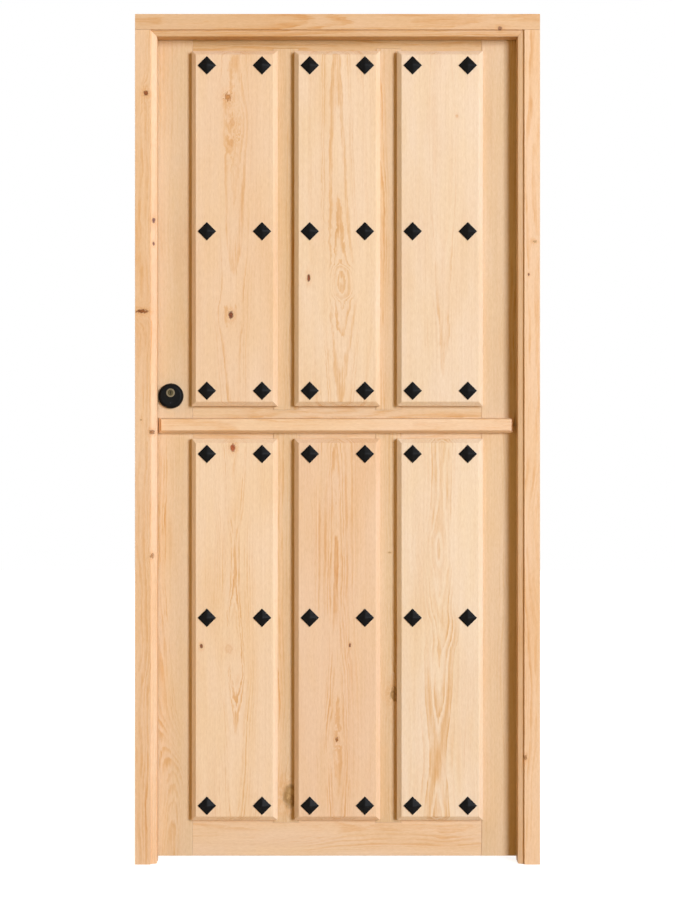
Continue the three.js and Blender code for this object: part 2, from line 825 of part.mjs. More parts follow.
const strikeX = [-rebateHalf - forendThickness, -rebateHalf];
const strikeZ = about(boltZ, strikeLength);

function strikePlate() {
  return block(strikeX, about(leafMiddle, strikeWidth), strikeZ).subtract(
    deadboltRoom([strikeX[0] - 1, strikeX[1] + 1], strikePlay),
  );
}

function strikeRoom() {
  const pocketEnd = boltX[0] - boltThrow - strikePocket;
  const plateRoom = block(
    [strikeX[0] - fit, strikeX[1] + 1],
    about(leafMiddle, strikeWidth + 2 * fit),
    grown(strikeZ, fit),
  );
  return plateRoom.add(deadboltRoom([pocketEnd, strikeX[1] + 1], strikePlay));
}

// ---------------------------------------------------------------- pull handle

function pullHandle() {
  const x = -leafHalf + stileWidth / 2;
  const z = keyZ + pullAboveKey;
  const half = pullLength / 2;
  const foot = leafBack + fit;
  const out = foot + pullReach - pullRadius;
  const at = (y, along) => new THREE.Vector3(x, y, z + along);
  const bow = new THREE.CurvePath();
  bow.add(new THREE.CubicBezierCurve3(
    at(foot + 1, -half), at(out - 4, -half), at(out, -half + pullBend / 3), at(out, -half + pullBend),
  ));
  bow.add(new THREE.LineCurve3(at(out, -half + pullBend), at(out, half - pullBend)));
  bow.add(new THREE.CubicBezierCurve3(
    at(out, half - pullBend), at(out, half - pullBend / 3), at(out - 4, half), at(foot + 1, half),
  ));
  const section = new THREE.Shape().absarc(0, 0, pullRadius, 0, Math.PI * 2, false);
  const grip = new THREE.ExtrudeGeometry(section, { steps: 32, curveSegments: 6, extrudePath: bow });
  const footProfile = [
    [0, foot],
    [pullFootRadius, foot],
    [pullFootRadius, foot + pullFootHeight / 2],
    [pullFootRadius - 4, foot + pullFootHeight],
    [0, foot + pullFootHeight],
  ];
  return solid(grip)
    .add(turned(footProfile, [x, z - half], rodSides))
    .add(turned(footProfile, [x, z + half], rodSides));
}

// ---------------------------------------------------------------- sliding bolts

// Made lying along +Z with the leaf's inside face at Y = 0 and the leaf's edge at Z = 0.
const slideAxis = fit + slidePlateThickness + slideRadius + fit;
const knobPlay = slideKnobRadius + 2;
const nearGuide = -slideKeepGap - slidePlateEnds[1];
const knobZ = nearGuide - slideGuideLength - knobPlay - slideTravel;
const farGuide = knobZ - knobPlay;
const slideGuides = [nearGuide, farGuide].map((end) => [end - slideGuideLength, end]);
const slidePlateZ = [farGuide - slideGuideLength - slidePlateEnds[0], -slideKeepGap];
const slideTip = -slideKeepGap + 1;

function slideLoop(z) {
  const top = slideAxis + slideRadius + fit + slideGuideWall;
  return block(about(0, slideGuideWidth), [fit + 1, top], z);
}

function slideBore(z) {
  return rodZ(slideRadius + fit, z, [0, slideAxis]);
}

function slidePlate(z) {
  return prismX(easedRectangle([fit, fit + slidePlateThickness], z, 0.4), about(0, slidePlateWidth));
}

function slideBase() {
  return slidePlate(slidePlateZ)
    .add(slideLoop(slideGuides[0]))
    .add(slideLoop(slideGuides[1]))
    .subtract(slideBore([slidePlateZ[0] - 1, slidePlateZ[1] + 1]));
}

function slideRod() {
  const knobEnd = slideAxis + slideRadius + slideKnobReach;
  const ball = new THREE.SphereGeometry(slideKnobRadius, 16, 10);
  return rodZ(slideRadius, [slideTip - slideLength, slideTip], [0, slideAxis])
    .add(rodY(slideKnobRadius * 0.55, [slideAxis, knobEnd - slideKnobRadius], [0, knobZ], 16))
    .add(solid(ball, new THREE.Matrix4().makeTranslation(0, knobEnd - slideKnobRadius, knobZ)));
}

function slideKeep(gap) {
  const plate = [gap, gap + slideKeepLength];
  return slidePlate(plate)
    .add(slideLoop(grown(plate, -slideGuideLength / 2)))
    .subtract(slideBore(grown(plate, 1)));
}

// ---------------------------------------------------------------- assembly

piece("frame_head", head(), frameWood);
const hingeRecesses = (side, bases) =>
  bases.map(([, middle]) => hingeRecess(side, middle)).reduce((all, next) => all.add(next));
piece("frame_jamb_hinge_side", jamb(1).subtract(hingeRecesses(1, hingeBases)), frameWood);
piece("frame_jamb_lock_side", jamb(-1).subtract(strikeRoom()), frameWood);
piece("seal_head", headSeal(), rubber);
piece("seal_hinge_side", jambSeal(1), rubber);
piece("seal_lock_side", jambSeal(-1), rubber);
piece("strike_plate", strikePlate(), steel);

hingeBases.forEach(([name, middle]) => {
  piece(`${name}_frame_half`, hingeHalf(1, middle), blackIron);
  piece(`${name}_leaf_half`, hingeHalf(-1, middle), blackIron);
  piece(`${name}_pin`, hingePin(middle), steel);
});

Object.entries(leaves).forEach(([name, leaf]) => {
  const bases = hingeBases.filter(([hinge]) => hinge.includes(`_${name}_`));
  const lockStile = stile(leaf, -1);
  piece(`${name}_stile_lock_side`, name === "upper" ? lockStile.subtract(lockRoom()) : lockStile, leafWood);
  piece(`${name}_stile_hinge_side`, stile(leaf, 1).subtract(hingeRecesses(-1, bases)), leafWood);
  const lowNotch = [leaf.laps[0] - fit, leaf.bottomRail[1] + 1];
  const highNotch = [leaf.topRail[0] - 1, leaf.laps[1] + fit];
  piece(`${name}_bottom_rail`, rail(leaf, leaf.bottomRail, [leaf.tenonTrim[0], 0], lowNotch), leafWood);
  piece(`${name}_top_rail`, rail(leaf, leaf.topRail, [0, leaf.tenonTrim[1]], highNotch), leafWood);
  muntinCentres.forEach((x, i) => piece(`${name}_muntin_${i + 1}`, muntin(leaf, x), leafWood));
  bays.forEach((bay) => {
    piece(`${name}_core_panel_${bay + 2}`, corePanel(leaf, bay), leafWood);
    piece(`${name}_board_${bay + 2}`, board(leaf, bay), boardWood);
  });
});
piece("meeting_bar", weatherBar(), leafWood);

piece("lock_case", lockCase(), steel);
piece("lock_forend", lockForend(), steel);
piece("deadbolt", deadboltRoom(boltX, 0), steel);
piece("lock_cylinder", cylinderBody(), brass);
piece("cylinder_plug", cylinderPlug(), brass);
piece("keyhole_disc", keyholeDisc(), brass);
piece("escutcheon_outer", outerEscutcheon(), blackIron);
piece("escutcheon_inner", innerEscutcheon(), blackIron);
piece("pull_handle", pullHandle(), blackIron);

// The lower leaf's bolt lies across its lock stile, and the joining bolt stands upright on it.
const lowerBolt = new THREE.Group();
lowerBolt.position.set(-leafHalf, leafBack, lowerBoltHeight);
lowerBolt.rotation.y = -Math.PI / 2;
piece("lower_bolt_base", slideBase(), blackIron, lowerBolt);
piece("lower_bolt_rod", slideRod(), blackIron, lowerBolt);
piece("lower_bolt_keep", slideKeep(leafGap + slideKeepGap), blackIron, lowerBolt);

const joiningBolt = new THREE.Group();
joiningBolt.position.set(-leafHalf + joiningBoltInset, leafBack, lowerLeaf.top - meetingRebate);
piece("joining_bolt_base", slideBase(), blackIron, joiningBolt);
piece("joining_bolt_rod", slideRod(), blackIron, joiningBolt);
piece("joining_bolt_keep", slideKeep(meetingGap + slideKeepGap), blackIron, joiningBolt);
door.add(lowerBolt, joiningBolt);

const extent = new THREE.Box3().setFromObject(door);
door.position.y = -(extent.min.y + extent.max.y) / 2;

export default door;
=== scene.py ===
"""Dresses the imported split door: varnished knotty pine, black iron, the lock, and studio light.

Metres, in the frame of the CAD: X across with the hinges at +X, the outside face towards -Y, Z up.
"""

import json
import math
from dataclasses import dataclass, field

import bmesh
import bpy
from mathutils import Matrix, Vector, noise


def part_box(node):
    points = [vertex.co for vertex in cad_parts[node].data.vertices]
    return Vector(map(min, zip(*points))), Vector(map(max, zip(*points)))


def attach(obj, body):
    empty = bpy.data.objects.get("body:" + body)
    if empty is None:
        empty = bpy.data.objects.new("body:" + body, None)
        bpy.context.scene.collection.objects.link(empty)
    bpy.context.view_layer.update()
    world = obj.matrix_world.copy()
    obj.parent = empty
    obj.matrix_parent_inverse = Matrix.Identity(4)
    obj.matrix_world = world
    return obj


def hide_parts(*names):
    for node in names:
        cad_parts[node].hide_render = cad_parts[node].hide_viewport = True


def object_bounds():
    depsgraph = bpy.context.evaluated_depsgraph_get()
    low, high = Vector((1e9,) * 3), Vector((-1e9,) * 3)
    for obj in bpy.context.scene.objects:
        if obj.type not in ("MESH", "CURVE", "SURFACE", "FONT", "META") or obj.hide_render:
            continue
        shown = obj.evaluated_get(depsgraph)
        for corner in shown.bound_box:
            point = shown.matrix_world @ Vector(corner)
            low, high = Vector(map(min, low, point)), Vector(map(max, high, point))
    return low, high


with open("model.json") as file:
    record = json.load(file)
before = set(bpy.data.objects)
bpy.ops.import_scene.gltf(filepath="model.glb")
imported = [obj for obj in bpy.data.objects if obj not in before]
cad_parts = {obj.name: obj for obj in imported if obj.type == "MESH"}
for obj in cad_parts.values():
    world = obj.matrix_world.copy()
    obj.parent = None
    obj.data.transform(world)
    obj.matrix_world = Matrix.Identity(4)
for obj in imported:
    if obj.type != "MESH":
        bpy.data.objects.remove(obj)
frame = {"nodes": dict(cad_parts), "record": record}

CAD_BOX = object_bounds()
NODES = frame["nodes"]
RECORD = frame["record"]
SLOT_OF = {part["node"]: part["material_slot"] for part in RECORD["subparts"]}
BODY_OF = {node: body for body, nodes in RECORD["behaviour"]["bodies"].items() for node in nodes}
BAYS = [(leaf, bay) for leaf in ("lower", "upper") for bay in (1, 2, 3)]
MM = 0.001


def in_mm(*points):
    """Points written in millimetres, as metres."""
    return [tuple(value * MM for value in point) for point in points]


# ------------------------------------------------------------------ sizes that the CAD shares

BOARD_SHOULDER = 14.5 * MM
BOARD_RISE = 9.5 * MM
BOARD_BEVEL = 11 * MM
NAIL_SIDE = 32.5 * MM
NAIL_RIM = 1.5 * MM
NAIL_RISE = 8.5 * MM
NAIL_FROM_SIDE = 38.5 * MM
NAIL_FROM_END = 38 * MM
NAIL_MIDDLE = {"lower": 30 * MM, "upper": -8 * MM}


# ------------------------------------------------------------------ shader trees


class Value:
    """A number in a shader tree. Arithmetic on it adds the nodes that it needs."""

    def __init__(self, tree, socket):
        self.tree = tree
        self.socket = socket

    def math(self, operation, *others, first=None):
        values = [self, *others] if first is None else [first, self]
        node = add_node(self.tree, "Math", enumerate(values), operation=operation)
        return Value(self.tree, node.outputs[0])

    def __add__(self, other):
        return self.math("ADD", other)

    def __sub__(self, other):
        return self.math("SUBTRACT", other)

    def __rsub__(self, other):
        return self.math("SUBTRACT", first=other)

    def __mul__(self, other):
        return self.math("MULTIPLY", other)

    def __truediv__(self, other):
        return self.math("DIVIDE", other)

    def __rtruediv__(self, other):
        return self.math("DIVIDE", first=other)

    def __pow__(self, other):
        return self.math("POWER", other)

    __radd__ = __add__
    __rmul__ = __mul__

    def band(self, low, high):
        """0 below low and 1 above high, smooth between. It falls instead where low is above high."""
        inputs = {"Value": self, "From Min": low, "From Max": high}
        node = add_node(self.tree, "MapRange", inputs, interpolation_type="SMOOTHSTEP")
        return Value(self.tree, node.outputs[0])


def feed(socket, value):
    if isinstance(value, Value):
        value.tree.links.new(value.socket, socket)
    else:
        socket.default_value = value


def add_node(tree, kind, inputs=(), **settings):
    node = tree.nodes.new("ShaderNode" + kind)
    for name, value in settings.items():
        setattr(node, name, value)
    for socket, value in dict(inputs).items():
        feed(node.inputs[socket], value)
    return node


def vector(tree, x, y, z):
    return Value(tree, add_node(tree, "CombineXYZ", {"X": x, "Y": y, "Z": z}).outputs[0])


def split(place):
    node = add_node(place.tree, "SeparateXYZ", {"Vector": place})
    return [Value(place.tree, out) for out in node.outputs]


def clouds(at, detail=2.0, roughness=0.5, scale=1.0):
    """Noise from 0 to 1 at a vector, about its middle value of 0.5."""
    inputs = {"Vector": at, "Scale": scale, "Detail": detail, "Roughness": roughness}
    return Value(at.tree, add_node(at.tree, "TexNoise", inputs).outputs["Fac"])


def waver(along, detail=1.0):
    """The same along a line."""
    inputs = {"W": along, "Scale": 1.0, "Detail": detail}
    node = add_node(along.tree, "TexNoise", inputs, noise_dimensions="1D")
    return Value(along.tree, node.outputs["Fac"])


def scatter(number):
    """A random value from 0 to 1 for each whole number."""
    node = add_node(number.tree, "TexWhiteNoise", {"W": number}, noise_dimensions="1D")
    return Value(number.tree, node.outputs[0])


def mixed(factor, a, b, blend="MIX"):
    node = add_node(factor.tree, "Mix", {0: factor, 6: a, 7: b}, data_type="RGBA", blend_type=blend)
    return Value(factor.tree, node.outputs[2])


def ramp(factor, stops):
    node = add_node(factor.tree, "ValToRGB", {"Fac": factor})
    elements = node.color_ramp.elements
    while len(elements) < len(stops):
        elements.new(1.0)
    for element, (place, colour) in zip(elements, stops):
        element.position = place
        element.color = colour
    return Value(factor.tree, node.outputs[0])


def group(name, inputs, outputs, build):
    """A node group. build takes its inputs by name and returns its outputs by name."""
    tree = bpy.data.node_groups.new(name, "ShaderNodeTree")
    for title, value in inputs.items():
        kind = "NodeSocketVector" if isinstance(value, tuple) else "NodeSocketFloat"
        tree.interface.new_socket(title, in_out="INPUT", socket_type=kind).default_value = value
    for title in outputs:
        tree.interface.new_socket(title, in_out="OUTPUT", socket_type="NodeSocketFloat")
    source = tree.nodes.new("NodeGroupInput")
    results = build(tree, {title: Value(tree, source.outputs[title]) for title in inputs})
    target = tree.nodes.new("NodeGroupOutput")
    for title in outputs:
        feed(target.inputs[title], results[title])
    return tree


def use_group(tree, made, inputs):
    node = add_node(tree, "Group", node_tree=made)
    for title, value in inputs.items():
        feed(node.inputs[title], value)
    return {out.name: Value(tree, out) for out in node.outputs}


def srgb(red, green, blue):
    """A colour written in 0 to 255, as the linear one that shaders take."""
    def linear(level):
        level /= 255
        return level / 12.92 if level <= 0.04045 else ((level + 0.055) / 1.055) ** 2.4
    return (linear(red), linear(green), linear(blue), 1.0)


def new_material(name, roughness, metallic=0.0, colour=None, specular=0.5):
    made = bpy.data.materials.new(name)
    made.use_nodes = True
    surface = made.node_tree.nodes["Principled BSDF"]
    surface.inputs["Roughness"].default_value = roughness
    surface.inputs["Metallic"].default_value = metallic
    surface.inputs["Specular IOR Level"].default_value = specular
    if colour:
        surface.inputs["Base Color"].default_value = colour
        made.diffuse_color = colour
    return made, made.node_tree, surface


def bump(tree, surface, height, distance):
    node = add_node(tree, "Bump", {"Height": height, "Distance": distance})
    tree.links.new(node.outputs[0], surface.inputs["Normal"])


def object_place(tree):
    return Value(tree, add_node(tree, "TexCoord").outputs["Object"])


# ------------------------------------------------------------------ pine

# A point in a piece of timber is given across the grain, along it, and in depth behind its face.

RIPPLE = 6.6 * MM  # how far uneven growth bends the rings
FRAY = 3.4 * MM  # how far single fibres do
RUFFLE = 9 * MM  # how far the grain strays round a knot whose curl is 1
FLANK = (13 * MM, 34 * MM)  # how far from the heart the late wood starts and ends paling


def build_figure(tree, given):
    """Growth rings round a winding heart line, with streaks, fibres and resin canals."""
    across, along, depth = split(given["Place"])
    heart_across, heart_depth, _ = split(given["Heart"])
    seed, peak = given["Seed"], given["Peak"]

    def patches(crosswise, lengthwise, detail=2.0, roughness=0.5):
        """Noise drawn out along the grain. Its two rates are in waves for each metre."""
        at = vector(tree, across * crosswise + seed, along * lengthwise, depth * crosswise)
        return clouds(at, detail, roughness)

    # The rings are the distance from a heart line that sways aside and dips.
    sway = waver(along * 2.3 + seed, 2.0) - 0.5
    dip = waver(along * 1.9 + seed + 31.0, 2.0) - 0.5
    aside = (across - heart_across - sway * given["Wander"] * 2.0).math("ABSOLUTE")
    below = (depth + heart_depth + dip * given["Wander"]).math("ABSOLUTE")
    radius = (aside**peak + below**peak) ** (1.0 / peak)
    steep = aside / (aside + below)

    # Knots, uneven growth and fibres bend them.
    ripple = patches(34, 5.0, 4.0, 0.6) - 0.5
    fray = patches(420, 12, 3.0, 0.62) - 0.5
    jog = patches(62, 21, 2.0, 0.55) - 0.5
    curl = patches(120, 62) - 0.5
    radius = radius + given["Push"] + ripple * RIPPLE + fray * FRAY
    radius = radius + jog * given["Jog"] + curl * given["Curl"] * RUFFLE

    # Late wood darkens through each year, falls off at its end, and pales where the cut is steep.
    rings = radius / given["Ring"] + (waver(radius * 62 + seed) - 0.5) * 2.2
    within = rings.math("FRACT")
    late = within.band(0.22, 0.84) * within.band(1.0, 0.90)
    late = late * (0.25 + scatter(rings.math("FLOOR") + seed) * 0.75)
    pale_flank = steep.band(0.25, 0.62) * aside.band(*FLANK) * 0.88
    fade = clouds(vector(tree, across * 46 - seed, along * 9, depth * 46), 2.0)
    strength = 0.62 + (fade.band(0.3, 0.68) * 0.95 - 0.52) * given["Fade"] + fray * 1.8
    return {
        "Late": late * (1.0 - pale_flank) * strength,
        "Streak": patches(190, 3) * 0.40 + patches(300, 64, 2.0, 0.6) * 0.60,
        "Fibre": clouds(vector(tree, across * 800, along * 110 + seed, depth * 800), 2.0, 0.6),
        "Canal": patches(700, 75, 1.0).band(0.71, 0.79),
        "Cloud": patches(11, 2.4, 3.0),
        "Hue": clouds(vector(tree, across * 22 + seed, along * 4.1, seed), 2.0),
    }


def build_knot(tree, given):
    """A branch through the timber, with the grain parted round it."""
    across, along, _ = split(given["Place"])
    at_across, at_along, seed = split(given["Centre"])
    radius, stretch = given["Radius"], given["Stretch"]
    aside = (across - at_across) / radius
    onward = (along - at_along) / (radius * stretch)
    lumps = clouds(vector(tree, aside * 1.5 + seed, onward * 1.2, seed), 2.0, 0.6) - 0.5
    specks = clouds(vector(tree, aside * 2.6 + seed, onward * 2.0, seed), 2.0, 0.6)
    near = (aside * aside + onward * onward) ** 0.5 + lumps * given["Ragged"]
    far = (aside * aside + onward * onward * 0.12) ** 0.5
    return {
        "Push": (far * far * -0.34).math("EXPONENT") * radius * 1.3,
        "Curl": (far * far * -0.05).math("EXPONENT"),
        "Core": near.band(1.05, 0.70),
        "Rim": near.band(0.5, 0.9) * near.band(1.35, 0.95),
        "Glow": near.band(3.6, 0.9) * specks.band(0.30, 0.62),
        "Specks": specks.band(0.38, 0.62),
    }


PINE_FIGURE = group(
    "pine figure",
    {
        "Place": (0, 0, 0), "Heart": (0, 0, 0), "Wander": 0.016, "Push": 0.0, "Curl": 0.0,
        "Ring": 0.004, "Peak": 2.0, "Jog": 0.0, "Fade": 1.0, "Seed": 0.0,
    },
    ("Late", "Streak", "Fibre", "Canal", "Cloud", "Hue"),
    build_figure,
)
PINE_KNOT = group(
    "pine knot",
    {"Place": (0, 0, 0), "Centre": (0, 0, 0), "Radius": 0.006, "Stretch": 1.3, "Ragged": 1.1},
    ("Push", "Curl", "Core", "Rim", "Glow", "Specks"),
    build_knot,
)

DARK_KNOT = ((146, 66, 24), (80, 32, 10))
RED_KNOT = ((190, 96, 46), (140, 58, 24))
ORANGE_KNOT = ((182, 116, 40), (116, 66, 22))
OLIVE_KNOT = ((178, 140, 80), (140, 104, 54))
PALE_KNOT = ((226, 174, 122), (210, 152, 98))


@dataclass
class Knot:
    """A knot at x and z of the door, in millimetres."""
    x: float
    z: float
    radius: float
    stretch: float = 1.3  # its length along the grain, over its width
    colours: tuple = RED_KNOT  # its middle and its rim
    strength: float = 0.9  # how much of those colours shows
    curl: float = 0.0  # how far it ruffles the grain round it
    ragged: float = 1.1  # how uneven its outline is


@dataclass
class Timber:
    """How one piece of pine is cut. Lengths are in millimetres."""
    tone: tuple  # its middle colour
    heart: tuple  # the heart line: places along the piece, each with across and depth
    level: bool = False  # the grain runs level, along X
    wander: float = 14  # how far the heart line strays
    ring: float = 4.6  # the width of a year
    peak: float = 2.0  # 2 for round rings; less makes the figure more pointed
    jog: float = 2.0  # how far the rings bend aside over a hand's width
    fade: float = 1.0  # how much they come and go along the piece
    contrast: float = 1.0  # how dark the late wood is
    seed: float = 0.0
    knots: list = field(default_factory=list)


def shade(tone, by, tint=(0.45, 1.0, 1.6)):
    """A tone made lighter or darker along the colours that pine takes."""
    return srgb(*(max(0, min(255, level + by * share)) for level, share in zip(tone, tint)))


def smooth_path(along, stops, ends):
    """A value that follows stops, given as (place, value), along a piece between its ends."""
    values = [value for _, value in stops]
    low, spread = min(values), max(max(values) - min(values), 1e-6)
    node = add_node(along.tree, "FloatCurve", {"Value": (along - ends[0]) / (ends[1] - ends[0])})
    points = node.mapping.curves[0].points
    while len(points) < len(stops):
        points.new(0.5, 0.5)
    for point, (place, value) in zip(points, sorted(stops)):
        point.location = ((place - ends[0]) / (ends[1] - ends[0]), (value - low) / spread)
    node.mapping.update()
    return Value(along.tree, node.outputs[0]) * spread + low


def heart_line(along, timber, ends):
    """Across and depth of the heart at each place along a piece."""
    stops = in_mm(*timber.heart)
    return [smooth_path(along, [(stop[0], stop[i]) for stop in stops], ends) for i in (1, 2)]


def pine_knots(tree, timber, place, middle):
    """The knots of a piece, each with what its node group gives."""
    knots = []
    for number, knot in enumerate(timber.knots):
        across, along = (knot.z, knot.x) if timber.level else (knot.x, knot.z)
        inputs = {
            "Place": place,
            "Centre": (across * MM - middle, along * MM, timber.seed + 5.3 * number),
            "Radius": knot.radius * MM,
            "Stretch": knot.stretch,
            "Ragged": knot.ragged,
        }
        knots.append((knot, use_group(tree, PINE_KNOT, inputs)))
    return knots


def pine_colour(timber, figure, knots):
    """The wood from pale to dark, then its streaks and canals, a drift of hue, and the knots."""
    tone = timber.tone
    warmth = (figure["Cloud"] - 0.5) * 0.7 + figure["Late"] * 0.62 * timber.contrast + 0.18
    stops = ((0.0, 16), (0.2, 12), (0.55, -10), (1.0, -38))
    wood = ramp(warmth, [(place, shade(tone, by)) for place, by in stops])
    streaks = (figure["Streak"] - 0.5) * 2.0 + (figure["Fibre"] - 0.5) * 0.8
    wood = mixed(streaks + figure["Canal"] * 0.30 + 0.5, wood, srgb(240, 233, 222), "MULTIPLY")
    wood = mixed(figure["Hue"].band(0.35, 0.7), wood, srgb(254, 252, 245), "MULTIPLY")
    for knot, parts in knots:
        middle, rim = (srgb(*colour) for colour in knot.colours)
        wood = mixed(parts["Glow"] * 0.55 * knot.strength, wood, shade(tone, -44))
        wood = mixed(parts["Core"] * knot.strength, wood, mixed(parts["Specks"], middle, rim))
        wood = mixed(parts["Rim"] * 0.7 * knot.strength, wood, rim)
    return wood


def pine(name, timber, box):
    """The material of one piece of pine that fills a box."""
    made, tree, surface = new_material("pine_" + name, 0.42, specular=0.26)
    low, high = box
    point = split(object_place(tree))
    width_axis, length_axis = (2, 0) if timber.level else (0, 2)
    along, ends = point[length_axis], (low[length_axis], high[length_axis])
    middle = (low[width_axis] + high[width_axis]) / 2
    place = vector(tree, point[width_axis] - middle, along, point[1] - low[1])
    heart_across, heart_depth = heart_line(along, timber, ends)
    knots = pine_knots(tree, timber, place, middle)
    figure = use_group(tree, PINE_FIGURE, {
        "Place": place,
        "Heart": vector(tree, heart_across, heart_depth, 0),
        "Wander": timber.wander * MM,
        "Push": sum((parts["Push"] for _, parts in knots), 0.0),
        "Curl": sum((parts["Curl"] * knot.curl for knot, parts in knots if knot.curl), 0.0),
        "Ring": timber.ring * MM,
        "Peak": timber.peak,
        "Jog": timber.jog * MM,
        "Fade": timber.fade,
        "Seed": timber.seed,
    })
    late, fibre = figure["Late"], figure["Fibre"]
    feed(surface.inputs["Base Color"], pine_colour(timber, figure, knots))
    feed(surface.inputs["Roughness"], 0.40 + fibre * 0.12 - late * 0.05)
    relief = late * 0.5 + figure["Streak"] * 0.5 + fibre * 0.6 - figure["Canal"] * 0.5
    bump(tree, surface, relief, 0.12 * MM)
    made.diffuse_color = shade(timber.tone, -6)
    return made


# ------------------------------------------------------------------ metals and rubber


def painted_iron():
    made, tree, surface = new_material("black_iron", 0.45, colour=srgb(15, 15, 16), specular=0.08)
    place = object_place(tree)
    peel = clouds(place, 2.0, scale=900.0)
    dents = clouds(place, 1.0, scale=120.0)
    feed(surface.inputs["Base Color"], ramp(dents, [(0.3, srgb(11, 11, 12)), (0.7, srgb(18, 18, 18))]))
    feed(surface.inputs["Roughness"], 0.38 + peel * 0.16)
    bump(tree, surface, dents + peel * 0.12, 0.25 * MM)
    return made


def brushed(name, colour, roughness, stretch):
    """Metal drawn along one direction: stretch is the scale of its scratches on each axis."""
    made, tree, surface = new_material(name, roughness, 1.0, colour)
    place = object_place(tree)
    drawn = [axis * scale for axis, scale in zip(split(place), stretch)]
    scratches = clouds(vector(tree, *drawn), 3.0, 0.65)
    tarnish = clouds(place, 3.0, scale=60.0)
    darker = tuple(level * 0.72 for level in colour[:3]) + (1.0,)
    feed(surface.inputs["Base Color"], mixed(tarnish.band(0.35, 0.75), colour, darker))
    feed(surface.inputs["Roughness"], roughness - 0.06 + scratches * 0.14)
    bump(tree, surface, scratches, 0.03 * MM)
    return made


def seal_rubber():
    made, tree, surface = new_material("seal_rubber", 0.75, colour=srgb(52, 44, 38))
    grain = clouds(object_place(tree), 2.0, scale=700.0)
    feed(surface.inputs["Base Color"], ramp(grain, [(0.3, srgb(46, 39, 34)), (0.7, srgb(60, 51, 44))]))
    feed(surface.inputs["Roughness"], 0.68 + grain * 0.16)
    bump(tree, surface, grain, 0.08 * MM)
    return made


IRON = painted_iron()
STEEL = brushed("brushed_steel", srgb(156, 157, 160), 0.32, (900, 900, 40))
BRASS = brushed("aged_brass", srgb(138, 127, 106), 0.36, (500, 500, 500))
# brass for the sunk middle of the keyhole disc, darkened as painted shade in that recess
KEY_FACE_SHADED = brushed("brass_with_painted_shade", srgb(84, 76, 56), 0.42, (500, 500, 500))
SCREW_IRON = brushed("blued_steel", srgb(58, 58, 62), 0.4, (700, 700, 700))
RUBBER = seal_rubber()


# ------------------------------------------------------------------ timber of each piece

FRAME_TONE = (237, 194, 150)
LOWER_TONE = (225, 189, 147)
UPPER_TONE = (222, 187, 146)
CORE_TONE = (230, 193, 152)

